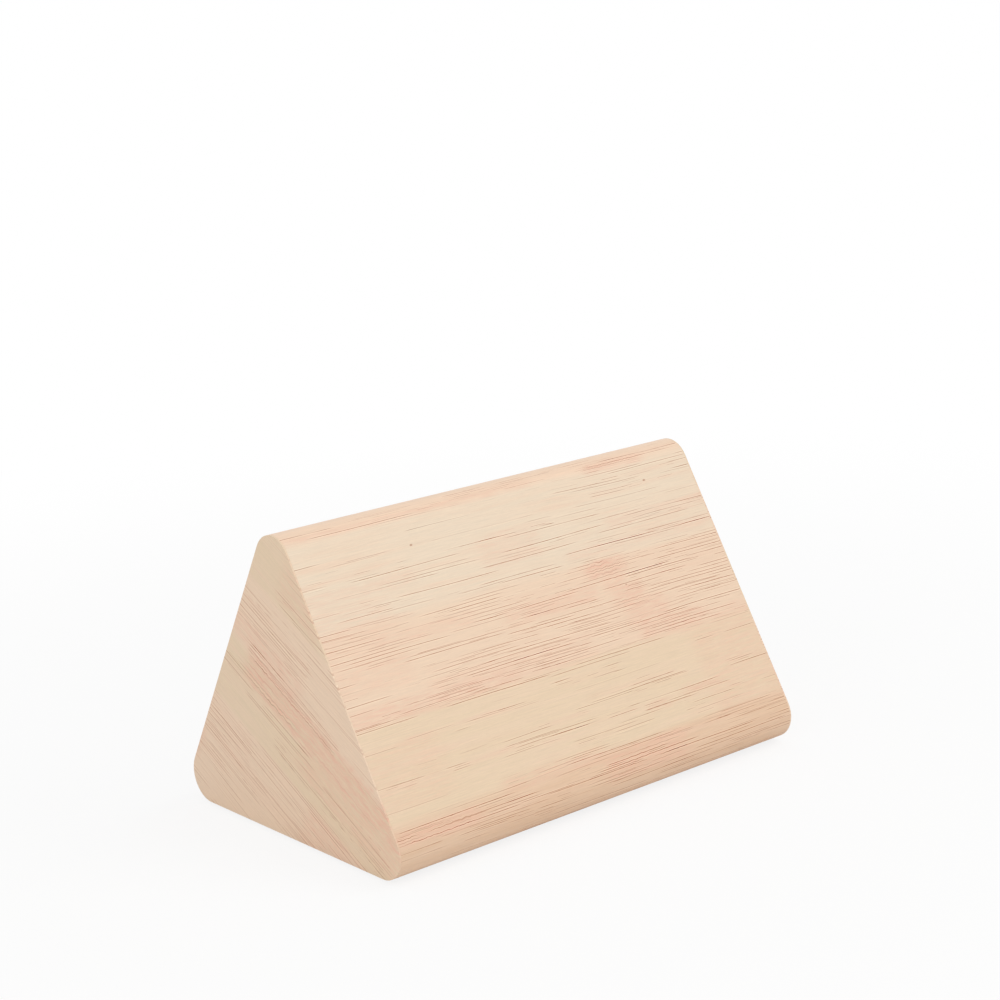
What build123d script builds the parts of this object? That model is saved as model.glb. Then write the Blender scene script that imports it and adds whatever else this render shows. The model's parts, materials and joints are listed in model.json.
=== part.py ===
from build123d import *
from math import cos, radians, sin, sqrt
import os

# Wooden desk clock: a hollow three-sided bar of board, wrapped in veneer, that rests on one long
# face. A digit display shines through the front slope, and a moulded plate in the back slope
# carries the battery bay, the buttons and the power socket. Millimetres. +X runs along the bar,
# the front slope faces -Y, and the origin is under the middle of the feet.

# Case: an equal-sided section, measured to where its faces would meet in a sharp corner.
case_length = 150.0
case_side = 110.0
corner_radius = 8.0
veneer_thickness = 0.5
board_thickness = 9.0
seam_gap = 0.3
foot_size = 9.0
foot_height = 0.8
foot_end_inset = 14.0
foot_edge_inset = 9.0

# Back plate, set flush into a rebate of the back board. Its size follows what it carries.
plate_thickness = 3.0
plate_corner = 4.0
plate_edge_bevel = 0.4
rebate_gap = 0.25
lip_width = 6.5
rim_gap = 0.3
rim_clear = 4.0
rim_wall = 1.2
rim_depth = 3.0
opening_corner = 3.0
plate_screw_inset = 3.4

# Battery bay, moulded into the back plate, for cells that lie side by side.
cell_count = 3
cell_radius = 5.25
cell_body = 43.7
cell_nub_radius = 1.9
cell_nub = 0.8
cell_gap = 0.4
spring_space = 4.2
contact_space = 1.2
bay_wall = 1.5
bay_rim_gap = 0.8
cradle_width = 1.2
cradle_height = 2.2

# Battery door, on two small pins at its lower edge.
door_thickness = 2.0
door_gap = 0.25
door_seat_gap = 0.1
door_side_ledge = 1.5
door_top_ledge = 4.0
barrel_radius = 1.2
pin_radius = 0.6
pin_length = 1.5
pin_play = 0.05
ear_height = 2.0
ear_gap = 0.4
tongue_width = 11.0
tongue_thickness = 1.2
tongue_depth = 3.2
tongue_edge = 0.6
tongue_play = 0.5
nail_notch_radius = 6.0
nail_notch_reach = 2.6
nail_notch_depth = 1.4
grip_rib_count = 4
grip_rib_width = 14.0
grip_rib_height = 0.4
grip_rib_thickness = 0.8
grip_rib_pitch = 1.8
grip_rib_inset = 4.2

# Battery contacts: nickelled strips with a tail through the bay's floor, and coil springs.
contact_thickness = 0.4
contact_size = 8.6
contact_tail_width = 3.0
contact_tail_drop = 3.0
contact_slot_gap = 0.2
spring_wire = 0.6
spring_radius = 2.6
spring_turns = 2
spring_sides = 8
spring_seat = 0.3

# Main circuit board, on bosses behind the right half of the plate.
pcb_height = 39.0
pcb_thickness = 1.2
pcb_depth = 10.0
pcb_bay_gap = 1.0
pcb_rim_gap = 0.3
pcb_edge_gap = 1.5
boss_size = 5.0
boss_inset = 3.6
pcb_screw_radius = 0.9
pcb_screw_length = 5.0
screw_play = 0.1

# Buttons and their switches. The last button's insets are from the board's right and upper edges.
button_names = ["set", "up", "down"]
button_radius = 3.4
button_gap = 0.25
button_proud = 0.9
button_flange = 1.1
button_flange_thickness = 0.8
button_flange_gap = 0.1
button_stem = 3.0
button_travel = 0.4
button_pitch = 12.5
button_insets = (9.0, 11.0)
switch_size = 6.0
switch_height = 3.6
plunger_size = 3.4
plunger_play = 0.2
plunger_proud = 0.8
plunger_sunk = 1.6

# Power socket for a small barrel plug, standing on the board and flush with the plate.
jack_radius = 3.4
jack_base = 8.4
jack_base_height = 2.4
jack_gap = 0.25
jack_bore_radius = 1.75
jack_bore_depth = 8.0
jack_pin_radius = 0.65
jack_pin_sunk = 1.2
jack_insets = (7.5, 10.5)

# Sounder, microphone and temperature sensor, on the outer side of the main board. The insets
# of what stands on the board are from its nearest side, then from its lower edge.
buzzer_radius = 6.0
buzzer_height = 5.4
buzzer_hole_radius = 1.0
buzzer_insets = (11.0, 11.0)
sound_slot_count = 5
sound_slot_length = 9.0
sound_slot_width = 1.1
sound_slot_pitch = 2.3
microphone_radius = 3.0
microphone_height = 2.6
microphone_hole_radius = 0.7
microphone_insets = (18.5, 9.5)
sensor_width = 4.4
sensor_thickness = 3.6
sensor_height = 4.8

# On the inner side of the main board.
chip_size = 9.0
chip_height = 1.4
chip_insets = (15.5, 10.5)
crystal_length = 10.0
crystal_width = 4.2
crystal_height = 3.2
crystal_insets = (15.5, 20.0)
capacitor_radius = 2.5
capacitor_height = 7.0
capacitor_insets = (6.5, 16.5)
coin_radius = 8.0
coin_height = 1.6
coin_holder_wall = 1.2
coin_holder_height = 3.0
coin_holder_play = 0.15
coin_clip_width = 5.0
coin_insets = (12.0, 12.5)
chip_side_gap = 1.65

# Display, behind the front slope: a frame of light wells over a board of light chips.
digit_width = 14.5
digit_height = 28.0
digit_pitch = 20.0
digit_slant_share = 0.14
colon_space = 12.0
colon_size = 2.8
colon_rise = 5.6
segment_width = 2.8
segment_gap = 0.8
window_side = 2.54
window_over = 4.0
window_corner = 2.0
frame_gap = 0.2
film_thickness = 0.4
display_pcb_side = 7.5
display_pcb_over = 5.0
display_pcb_thickness = 1.6
display_screw_inset = 4.0
peg_radius = 1.0
peg_play = 0.1
peg_inset = 3.0
led_length = 1.6
led_width = 0.8
led_height = 0.6
driver_length = 18.0
driver_width = 7.5
driver_height = 2.4
driver_place = (14.0, -8.0)

# Self-tapping screws.
wood_screw_radius = 1.2
wood_screw_length = 7.0
wood_screw_head = 2.4
wood_screw_cone = 1.3
pan_head_radius = 2.1
pan_head_height = 1.3
display_screw_radius = 1.1
display_screw_length = 7.2
recess_width = 0.6
recess_depth = 0.7

# Flat cable between the two boards, and the battery leads.
header_length = 12.5
header_width = 5.0
header_height = 4.0
ribbon_width = 10.2
ribbon_thickness = 0.9
ribbon_lead = 5.0
ribbon_bend = 3.0
main_header_inset = 5.5
display_header_rise = 0.0
lead_radius = 0.6
lead_pad_inset = 7.5

# Cuts run past the face they start from by this much.
overrun = 1.0

SLOPE_RISE = radians(30)
FULL_TURN = 360


def inradius(side):
    """Distance from the middle of an equal-sided triangle to each of its sides."""
    return side / (2 * sqrt(3))


def inset_side(side, depth):
    """Side of the triangle whose faces lie that much deeper."""
    return side - 2 * sqrt(3) * depth


centre_height = foot_height + inradius(case_side)
core_side = inset_side(case_side, veneer_thickness)
core_length = case_length - 2 * veneer_thickness
cavity_side = inset_side(core_side, board_thickness)
flat_half = case_side / 2 - corner_radius * sqrt(3)

# One frame for each outer face: x along the bar, y up the slope, z out of the face.
slope_y = inradius(case_side) * cos(SLOPE_RISE)
slope_z = centre_height + inradius(case_side) * sin(SLOPE_RISE)
FRONT = Plane((0, -slope_y, slope_z), x_dir=(1, 0, 0), z_dir=(0, -cos(SLOPE_RISE), sin(SLOPE_RISE)))
BACK = Plane((0, slope_y, slope_z), x_dir=(-1, 0, 0), z_dir=(0, cos(SLOPE_RISE), sin(SLOPE_RISE)))
BASE = Plane((0, 0, foot_height), x_dir=(1, 0, 0), z_dir=(0, 0, -1))

board_inner = veneer_thickness + board_thickness

cell_pitch = 2 * cell_radius + cell_gap
cell_length = cell_body + cell_nub
bay_length = cell_length + spring_space + contact_space
bay_height = cell_count * cell_pitch + cell_gap
bay_depth = door_thickness + cell_gap + 2 * cell_radius + door_seat_gap

# The main board is as wide as its chip and its coin cell's holder, side by side.
coin_holder_radius = coin_radius + coin_holder_play + coin_holder_wall
pcb_width = (chip_insets[0] + chip_size / 2 + chip_side_gap + coin_holder_radius
             + coin_insets[0])

# The bay and the main board lie side by side within the plate's locating ribs.
inner_width = (bay_rim_gap + bay_wall + bay_length + bay_wall + pcb_bay_gap + pcb_width
               + pcb_rim_gap)
inner_height = max(pcb_height, bay_height + 2 * bay_wall) + 2 * pcb_edge_gap
opening_width = inner_width + 2 * (rim_gap + rim_wall)
opening_height = inner_height + 2 * (rim_gap + rim_wall)
plate_width = opening_width + 2 * lip_width
plate_height = opening_height + 2 * lip_width

bay_left = -inner_width / 2 + bay_rim_gap + bay_wall
bay_right = bay_left + bay_length
bay_x = (bay_left + bay_right) / 2
cell_axis_depth = door_thickness + cell_gap + cell_radius
hinge_y = -bay_height / 2 + door_gap + barrel_radius
ear_top = hinge_y + ear_height
door_top = bay_height / 2 + door_top_ledge - door_gap
recess_top = bay_height / 2 + door_top_ledge
tongue_top = door_top - tongue_edge

pcb_left = bay_right + bay_wall + pcb_bay_gap
pcb_x = pcb_left + pcb_width / 2
pcb_inner = pcb_depth + pcb_thickness

main_header_rise = pcb_height / 2 - main_header_inset


def board_place(insets, side):
    """A place on the main board, inset from its left or right side and from its lower edge."""
    return (side * (pcb_width / 2 - insets[0]), insets[1] - pcb_height / 2)


button_row = pcb_height / 2 - button_insets[1]
jack_place = board_place(jack_insets, 1)
buzzer_place = board_place(buzzer_insets, -1)
microphone_place = board_place(microphone_insets, 1)
sensor_place = (microphone_place[0], (microphone_place[1] + button_row) / 2)
chip_place = board_place(chip_insets, -1)
crystal_place = board_place(crystal_insets, -1)
capacitor_place = board_place(capacitor_insets, -1)
coin_place = board_place(coin_insets, 1)

# The window goes round the four digits, and the display's board round the window.
digits_half = colon_space / 2 + digit_pitch + digit_width + digit_slant_share * digit_height / 2
window_width = 2 * (digits_half + window_side)
window_height = digit_height + 2 * window_over
display_pcb_width = window_width + 2 * display_pcb_side
display_pcb_height = window_height + 2 * display_pcb_over
display_inner = board_inner + display_pcb_thickness
lead_drop = bay_depth + bay_wall + contact_tail_drop / 2


def column(profile, top, bottom):
    """A flat profile run between two heights."""
    return Pos(0, 0, bottom) * extrude(profile, top - bottom, dir=(0, 0, 1))


def slab(width, height, thickness, corner, top=0.0):
    """Rounded slab with its outer face at the height top, going inwards."""
    return column(RectangleRounded(width, height, corner), top, top - thickness)


def rod(radius, top, bottom):
    """Round bar between two heights."""
    return Pos(0, 0, bottom) * Cylinder(
        radius, top - bottom, align=(Align.CENTER, Align.CENTER, Align.MIN))


def block(width, height, top, bottom):
    """Square-cornered bar between two heights."""
    return Pos(0, 0, bottom) * Box(
        width, height, top - bottom, align=(Align.CENTER, Align.CENTER, Align.MIN))


def at_each(places, shape):
    """The same shape at each place, kept as separate solids."""
    return [Pos(x, y, 0) * shape for x, y in places]


def corners_of(width, height, inset):
    """The four places that lie inset from a rectangle's edges."""
    across = width / 2 - inset
    up = height / 2 - inset
    return [(across, up), (-across, up), (-across, -up), (across, -up)]


def shifted(place, x):
    """A place on the main board, in the back plate's frame."""
    return (place[0] + x, place[1])


def countersunk_screw():
    """Screw whose flat head ends at the height zero."""
    head = Pos(0, 0, -wood_screw_cone / 2) * Cone(wood_screw_radius, wood_screw_head, wood_screw_cone)
    slot = block(2 * wood_screw_head, recess_width, overrun, -recess_depth)
    return head + rod(wood_screw_radius, -wood_screw_cone, -wood_screw_length) - slot


def pan_screw(radius, length):
    """Screw that enters downwards, with the underside of its head at the height zero."""
    return rod(pan_head_radius, pan_head_height, 0) + rod(radius, 0, -length)


def triangle_corners(side):
    """Front, back and top corner of the section, about its middle."""
    return [(-side / 2, -inradius(side)), (side / 2, -inradius(side)), (0, 2 * inradius(side))]


def rounded_triangle(side, radius):
    return fillet(Polygon(*triangle_corners(side), align=None).vertices(), radius)


def bar(profile, start, end):
    """A profile of the section run along the bar from start to end."""
    frame = Plane((start, 0, centre_height), x_dir=(0, 1, 0), z_dir=(1, 0, 0))
    return extrude(frame * profile, end - start, dir=(1, 0, 0))


def board(first, second):
    """One of the three mitred boards, between two corners of the section."""
    outer = triangle_corners(core_side)
    inner = triangle_corners(cavity_side)
    mitred = Polygon(outer[first], outer[second], inner[second], inner[first], align=None)
    profile = mitred & rounded_triangle(core_side, corner_radius - veneer_thickness)
    return bar(profile, -core_length / 2, core_length / 2)


def plate_outline(extra):
    return RectangleRounded(plate_width + 2 * extra, plate_height + 2 * extra, plate_corner + extra)


plate_screws = corners_of(plate_width, plate_height, plate_screw_inset)
display_screws = corners_of(display_pcb_width, display_pcb_height, display_screw_inset)[::2]


def front_board():
    """Board behind the front slope, with the display's window and its blind screw holes."""
    window = slab(window_width, window_height, board_inner + overrun, window_corner)
    pilot_end = display_screw_length - display_pcb_thickness + screw_play
    pilot = rod(display_screw_radius + screw_play, -board_inner + pilot_end, -board_inner - overrun)
    return board(0, 2) - FRONT * window - [FRONT * hole for hole in at_each(display_screws, pilot)]


def back_board():
    """Board behind the back slope, rebated for the plate and open behind it."""
    rebate = column(plate_outline(rebate_gap), overrun, -plate_thickness)
    opening = slab(opening_width, opening_height, board_inner + overrun, opening_corner)
    pilot = rod(wood_screw_radius + screw_play, 0, -wood_screw_length - screw_play)
    return board(1, 2) - BACK * rebate - BACK * opening - [
        BACK * hole for hole in at_each(plate_screws, pilot)]


def base_board():
    return board(0, 1)


def end_board(side):
    """Plug glued into one end of the bar, flush with the three boards."""
    ends = sorted([side * core_length / 2, side * (core_length / 2 - board_thickness)])
    return bar(Polygon(*triangle_corners(cavity_side), align=None), *ends)


def veneer_wrap():
    """Veneer folded round the bar, its seam under the base, cut out for the back plate."""
    sheet = rounded_triangle(case_side, corner_radius)
    sheet -= rounded_triangle(core_side, corner_radius - veneer_thickness)
    wrap = bar(sheet, -core_length / 2, core_length / 2)
    seam = block(case_length, seam_gap, overrun, -veneer_thickness - overrun)
    cutout = column(plate_outline(rebate_gap), overrun, -plate_thickness)
    return wrap - BACK * cutout - BASE * seam


def end_veneer(side):
    """Flat veneer on one end, trimmed flush with the wrap."""
    ends = sorted([side * core_length / 2, side * case_length / 2])
    return bar(rounded_triangle(case_side, corner_radius), *ends)


def feet():
    """Four thin rubber pads stuck under the base."""
    along = case_length / 2 - foot_end_inset
    across = flat_half - foot_edge_inset
    pad = block(foot_size, foot_size, foot_height, 0)
    return [BASE * foot for foot in at_each(
        [(along, across), (-along, across), (-along, -across), (along, -across)], pad)]


def door_recess():
    """Room that the battery door fills: wide over its ledges, narrow between the hinge ears."""
    wide_bottom = ear_top
    wide = Pos(bay_x, (recess_top + wide_bottom) / 2, 0) * block(
        bay_length + 2 * door_side_ledge, recess_top - wide_bottom, overrun,
        -door_thickness - door_seat_gap)
    slot_low = tongue_top - tongue_thickness - door_gap
    slot_high = tongue_top + tongue_play
    slot = Pos(bay_x, (slot_low + slot_high) / 2, 0) * block(
        tongue_width + 2 * tongue_play, slot_high - slot_low, overrun, -plate_thickness - overrun)
    notch = Pos(bay_x, recess_top - nail_notch_radius + nail_notch_reach, 0) * rod(
        nail_notch_radius, overrun, -nail_notch_depth)
    pin = Pos(bay_x, hinge_y, -barrel_radius) * Rot(0, 90, 0) * Cylinder(
        pin_radius + pin_play, bay_length + 2 * (pin_length + pin_play))
    return wide + slot + notch + pin


def battery_bay():
    """The pocket that the cells lie in, with the slots for the contacts' tails."""
    pocket = Pos(bay_x, 0, 0) * block(bay_length, bay_height, overrun, -bay_depth)
    return pocket + [
        Pos(x, y, -bay_depth) * block(
            contact_thickness + 2 * contact_slot_gap, contact_tail_width + 2 * contact_slot_gap,
            overrun, -bay_wall - overrun)
        for x, y in contact_tails()]


def cell_rows():
    """Height of each cell's axis up the back slope, from the lowest."""
    first = -(cell_count - 1) / 2 * cell_pitch
    return [first + index * cell_pitch for index in range(cell_count)]


def nub_side(index):
    """Which end of the bay a cell's nub faces: they alternate, as cells in series do."""
    return 1 if index % 2 == 0 else -1


def contact_x(side):
    return (bay_right if side > 0 else bay_left) - side * contact_thickness / 2


def contact_tails():
    """Places of the two outer tails: the lowest cell's spring end and the top cell's nub end."""
    rows = cell_rows()
    return [(contact_x(-nub_side(0)), rows[0]), (contact_x(nub_side(cell_count - 1)), rows[-1])]


def back_plate():
    """Moulded back: flush plate, locating rim, battery bay, board bosses and every opening."""
    plate = column(plate_outline(0), 0, -plate_thickness)
    plate = chamfer(plate.faces().sort_by(Axis.Z)[-1].edges(), plate_edge_bevel)
    tub = Pos(bay_x, 0, 0) * block(
        bay_length + 2 * bay_wall, bay_height + 2 * bay_wall, -plate_thickness,
        -bay_depth - bay_wall)
    boss = block(boss_size, boss_size, -plate_thickness, -pcb_depth)
    bosses = at_each(board_corners(), boss)
    moulding = plate + locating_ribs() + tub + bosses - battery_bay() - door_recess()
    cradles = [
        Pos(bay_x, (low + high) / 2, 0) * block(
            cell_body / 2, cradle_width, -bay_depth + cradle_height, -bay_depth)
        for low, high in zip(cell_rows(), cell_rows()[1:])]
    return moulding + cradles - plate_holes()


def locating_ribs():
    """Ribs behind the plate that centre it in the back board's opening, clear of its corners."""
    across = opening_width / 2 - rim_gap - rim_wall / 2
    up = opening_height / 2 - rim_gap - rim_wall / 2
    long_rib = block(opening_width - 2 * rim_clear, rim_wall, -plate_thickness,
                     -plate_thickness - rim_depth)
    short_rib = block(rim_wall, opening_height - 2 * rim_clear, -plate_thickness,
                      -plate_thickness - rim_depth)
    return at_each([(0, up), (0, -up)], long_rib) + at_each([(across, 0), (-across, 0)], short_rib)


def board_corners():
    """Where the bosses stand, one near each corner of the main board."""
    return [(x + pcb_x, y) for x, y in corners_of(pcb_width, pcb_height, boss_inset)]


def board_screws():
    """The bosses that take a screw: two, at opposite corners."""
    return board_corners()[::2]


def button_places():
    last = pcb_x + pcb_width / 2 - button_insets[0]
    return [(last - steps * button_pitch, button_row)
            for steps in reversed(range(len(button_names)))]


def plate_holes():
    """Holes for the screws, buttons, socket, sounder and microphone."""
    depth = -plate_thickness - overrun
    screw = rod(wood_screw_radius + screw_play, overrun, depth)
    head = wood_screw_head + screw_play
    sink = Pos(0, 0, -wood_screw_cone / 2) * Cone(
        wood_screw_radius + screw_play, head, wood_screw_cone)
    pilot = rod(pcb_screw_radius + screw_play, pcb_screw_length + screw_play - pcb_inner,
                -pcb_depth - overrun)
    slots = [
        Pos(0, (index - (sound_slot_count - 1) / 2) * sound_slot_pitch, 0)
        * block(sound_slot_length, sound_slot_width, overrun, depth)
        for index in range(sound_slot_count)]
    holes = at_each(plate_screws, screw + sink)
    holes += at_each(button_places(), rod(button_radius + button_gap, overrun, depth))
    holes += at_each([shifted(jack_place, pcb_x)], rod(jack_radius + jack_gap, overrun, depth))
    holes += at_each([shifted(microphone_place, pcb_x)], rod(microphone_hole_radius, overrun, depth))
    holes += at_each(board_screws(), pilot)
    return holes + [Pos(*shifted(buzzer_place, pcb_x), 0) * slot for slot in slots]


def battery_door():
    """Lid with hinge pins at its lower edge, a latch tongue at its top and grip ribs."""
    wide_bottom = ear_top + ear_gap
    wide = Pos(bay_x, (door_top + wide_bottom) / 2, 0) * block(
        bay_length + 2 * (door_side_ledge - door_gap), door_top - wide_bottom, 0, -door_thickness)
    narrow_width = bay_length - 2 * door_gap
    narrow = Pos(bay_x, (wide_bottom + hinge_y) / 2, 0) * block(
        narrow_width, wide_bottom - hinge_y, 0, -door_thickness)
    barrel = Pos(bay_x, hinge_y, -barrel_radius) * Rot(0, 90, 0) * Cylinder(
        barrel_radius, narrow_width)
    pins = Pos(bay_x, hinge_y, -barrel_radius) * Rot(0, 90, 0) * Cylinder(
        pin_radius, bay_length + 2 * pin_length)
    tongue = Pos(bay_x, tongue_top - tongue_thickness / 2, 0) * block(
        tongue_width, tongue_thickness, -door_thickness, -door_thickness - tongue_depth)
    door = wide + narrow + barrel + pins + tongue
    ribs = [
        Pos(bay_x, door_top - grip_rib_inset - index * grip_rib_pitch, 0) * block(
            grip_rib_width, grip_rib_thickness, grip_rib_height, 0)
        for index in range(grip_rib_count)]
    return door + ribs


def battery_cell(index):
    """One cell: a round can with a nub at one end."""
    side = nub_side(index)
    can = Cylinder(cell_radius, cell_body)
    nub = Pos(0, 0, (cell_body + cell_nub) / 2) * Cylinder(cell_nub_radius, cell_nub)
    nub_face = contact_x(side) - side * contact_thickness / 2 - side * (
        contact_space - contact_thickness)
    x = nub_face - side * (cell_nub + cell_body / 2)
    return Pos(x, cell_rows()[index], -cell_axis_depth) * Rot(0, side * 90, 0) * (can + nub)


def contact_strip(x, rows, tail):
    """A strip against one end of the bay, behind one cell or two, with or without a tail."""
    middle = sum(rows) / len(rows)
    height = contact_size + rows[-1] - rows[0]
    strip = Pos(x, middle, -cell_axis_depth) * Box(contact_thickness, height, contact_size)
    if tail:
        strip += Pos(x, rows[0], 0) * block(
            contact_thickness, contact_tail_width, -cell_axis_depth,
            -bay_depth - bay_wall - contact_tail_drop)
    return strip


def contact_dimple(side, y):
    """Raised pad that a cell's nub presses on."""
    reach = contact_space - contact_thickness
    face = contact_x(side) - side * contact_thickness / 2
    return Pos(face - side * reach / 2, y, -cell_axis_depth) * Box(
        reach, 2 * cell_nub_radius, 2 * cell_nub_radius)


def contact_plates():
    """Strips that join the cells in series: a single at each outer end, doubles between."""
    rows = cell_rows()
    strips = []
    for side in (1, -1):
        start = 0 if nub_side(0) == side else 1
        groups = [rows[:start]] if start else []
        groups += [rows[index:index + 2] for index in range(start, cell_count, 2)]
        for group in groups:
            tail = len(group) == 1
            strip = contact_strip(contact_x(side), group, tail)
            for y in group:
                if nub_side(rows.index(y)) == side:
                    strip += contact_dimple(side, y)
            strips.append(strip)
    return [BACK * strip for strip in strips]


def contact_springs():
    """A coil behind each cell's flat end, bent from straight lengths of square wire."""
    springs = []
    for index, y in enumerate(cell_rows()):
        side = -nub_side(index)
        face = contact_x(side) - side * contact_thickness / 2
        reach = spring_space - contact_thickness - 2 * spring_seat - spring_wire
        steps = spring_turns * spring_sides
        turns = [Rot(0, 0, step * FULL_TURN / spring_sides) * Pos(
            spring_radius, 0, reach * step / steps) for step in range(steps + 1)]
        path = Polyline(*[turn.position for turn in turns])
        profile = Plane(path @ 0, x_dir=(1, 0, 0), z_dir=path % 0) * Rectangle(
            spring_wire, spring_wire)
        coil = sweep(profile, path, transition=Transition.RIGHT)
        place = Pos(face - side * (spring_seat + spring_wire / 2), y, -cell_axis_depth)
        springs.append(BACK * place * Rot(0, -side * 90, 0) * coil)
    return springs


def button(place):
    """Round cap, a square flange that keeps it behind the plate and unturned, and a stem."""
    flange_top = -plate_thickness - button_flange_gap
    flange_bottom = flange_top - button_flange_thickness
    cap = rod(button_radius, button_proud, flange_top)
    flange_size = 2 * (button_radius + button_flange)
    flange = block(flange_size, flange_size, flange_top, flange_bottom)
    stem = block(button_stem, button_stem, flange_bottom, plunger_top())
    return BACK * Pos(*place, 0) * (cap + flange + stem)


def plunger_top():
    return switch_height + plunger_proud - pcb_depth


def plunger(place):
    """The switch's moving button, which the stem stands on."""
    top = plunger_top()
    return BACK * Pos(*place, 0) * block(
        plunger_size, plunger_size, top, top - plunger_proud - plunger_sunk)


def switch_bodies():
    """A square body for each button, with the well that its plunger slides in."""
    well = plunger_sunk + button_travel + plunger_play
    well_size = plunger_size + 2 * plunger_play
    top = switch_height - pcb_depth
    body = block(switch_size, switch_size, top, -pcb_depth)
    body -= block(well_size, well_size, top + overrun, top - well)
    return [BACK * switch for switch in at_each(button_places(), body)]


def main_pcb():
    pcb = Pos(pcb_x, 0, 0) * block(pcb_width, pcb_height, -pcb_depth, -pcb_inner)
    hole = rod(pcb_screw_radius + screw_play, -pcb_depth + overrun, -pcb_inner - overrun)
    return BACK * (pcb - at_each(board_screws(), hole))


def pcb_screws():
    """Screws that hold the main board to the bosses, heads inwards."""
    screw = Pos(0, 0, -pcb_inner) * Rot(180, 0, 0) * pan_screw(pcb_screw_radius, pcb_screw_length)
    return [BACK * one for one in at_each(board_screws(), screw)]


def on_main_board(place, shape):
    return BACK * Pos(*shifted(place, pcb_x), 0) * shape


def power_jack():
    body = rod(jack_radius, 0, -pcb_depth)
    body += block(jack_base, jack_base, -pcb_depth + jack_base_height, -pcb_depth)
    return on_main_board(jack_place, body - rod(jack_bore_radius, overrun, -jack_bore_depth))


def jack_pin():
    return on_main_board(jack_place, rod(jack_pin_radius, -jack_pin_sunk, -jack_bore_depth))


def buzzer():
    drum = rod(buzzer_radius, buzzer_height - pcb_depth, -pcb_depth)
    hole = rod(buzzer_hole_radius, overrun, buzzer_height / 2 - pcb_depth)
    return on_main_board(buzzer_place, drum - hole)


def microphone():
    can = rod(microphone_radius, microphone_height - pcb_depth, -pcb_depth)
    return on_main_board(microphone_place, can)


def temperature_sensor():
    """Half-round sensor that stands on the board."""
    outline = Circle(sensor_width / 2) & Pos(0, sensor_width / 2 - sensor_thickness / 2, 0) * Rectangle(
        sensor_width, sensor_thickness)
    return on_main_board(sensor_place, column(outline, sensor_height - pcb_depth, -pcb_depth))


def microcontroller():
    chip = block(chip_size, chip_size, -pcb_inner, -pcb_inner - chip_height)
    return on_main_board(chip_place, chip)


def crystal():
    can = column(SlotOverall(crystal_length, crystal_width), -pcb_inner, -pcb_inner - crystal_height)
    return on_main_board(crystal_place, can)


def capacitor():
    can = rod(capacitor_radius, -pcb_inner, -pcb_inner - capacitor_height)
    return on_main_board(capacitor_place, can)


def coin_cell():
    top = -pcb_inner - coin_holder_height + coin_height
    return on_main_board(coin_place, rod(coin_radius, top, top - coin_height))


def coin_holder():
    """Open ring with a floor against the board, and a clip across the coin cell."""
    cell_top = -pcb_inner - coin_holder_height + coin_height
    ring = rod(coin_holder_radius, -pcb_inner, -pcb_inner - coin_holder_height)
    ring -= rod(coin_radius + coin_holder_play, cell_top, -pcb_inner - coin_holder_height - overrun)
    clip = block(2 * coin_holder_radius, coin_clip_width, -pcb_inner - coin_holder_height,
                 -pcb_inner - coin_holder_height - coin_holder_wall / 2)
    return on_main_board(coin_place, ring + clip)


def slanted(x, y):
    """A point of an upright digit, leaned over as the display's digits are."""
    return (x + digit_slant_share * y, y)


def segment_outline(x, y, length, upright):
    """A bar with pointed ends, as in the figures of a digital clock."""
    half = segment_width / 2
    tip = length / 2
    points = [(-tip, 0), (half - tip, -half), (tip - half, -half), (tip, 0), (tip - half, half),
              (half - tip, half)]
    if upright:
        points = [(-across, along) for along, across in points]
    return Polygon(*[slanted(x + dx, y + dy) for dx, dy in points], align=None)


def digit_segments():
    """The seven bars of one digit: place, length, and whether it stands upright."""
    across = digit_width - segment_width
    up = (digit_height - segment_width) / 2
    bars = [(0, level * up, across - segment_gap, False) for level in (1, 0, -1)]
    bars += [(side * across / 2, level * up / 2, up - segment_gap, True)
             for side in (1, -1) for level in (1, -1)]
    return bars


def digit_places():
    first = colon_space / 2 + digit_width / 2
    return [side * (first + index * digit_pitch) for side in (-1, 1) for index in (0, 1)]


def colon_places():
    return [slanted(0, colon_rise), slanted(0, -colon_rise)]


def light_frame():
    """Block that fills the window, with a light well for each bar of each digit."""
    front = -veneer_thickness - film_thickness
    frame = slab(window_width - 2 * frame_gap, window_height - 2 * frame_gap,
                 board_thickness - film_thickness, window_corner - frame_gap, front)
    wells = [
        Pos(x, 0, 0) * column(segment_outline(*bar), front + overrun, -board_inner - overrun)
        for x in digit_places() for bar in digit_segments()]
    dot = block(colon_size, colon_size, front + overrun, -board_inner - overrun)
    dots = at_each(colon_places(), dot)
    pegs = at_each(peg_places(), rod(peg_radius, -board_inner, -display_inner))
    return FRONT * (frame - wells - dots + pegs)


def peg_places():
    """Two pegs that line the frame up with the display board, at the corners without screws."""
    return corners_of(window_width, window_height, peg_inset)[1::2]


def diffuser_film():
    film = slab(window_width - 2 * frame_gap, window_height - 2 * frame_gap, film_thickness,
                window_corner - frame_gap, -veneer_thickness)
    return FRONT * film


def display_pcb():
    pcb = block(display_pcb_width, display_pcb_height, -board_inner, -display_inner)
    hole = rod(display_screw_radius + screw_play, 0, -display_inner - overrun)
    peg = rod(peg_radius + peg_play, 0, -display_inner - overrun)
    return FRONT * (pcb - at_each(display_screws, hole) - at_each(peg_places(), peg))


def light_chips():
    """A chip in the bottom of each bar's well and one under each colon dot."""
    chip = block(led_length, led_width, led_height - board_inner, -board_inner)
    chips = []
    for digit_x in digit_places():
        for x, y, _, upright in digit_segments():
            across, up = slanted(x, y)
            turn = Rot(0, 0, 90 if upright else 0)
            chips.append(FRONT * Pos(digit_x + across, up, 0) * turn * chip)
    return chips + [FRONT * one for one in at_each(colon_places(), chip)]


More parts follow.
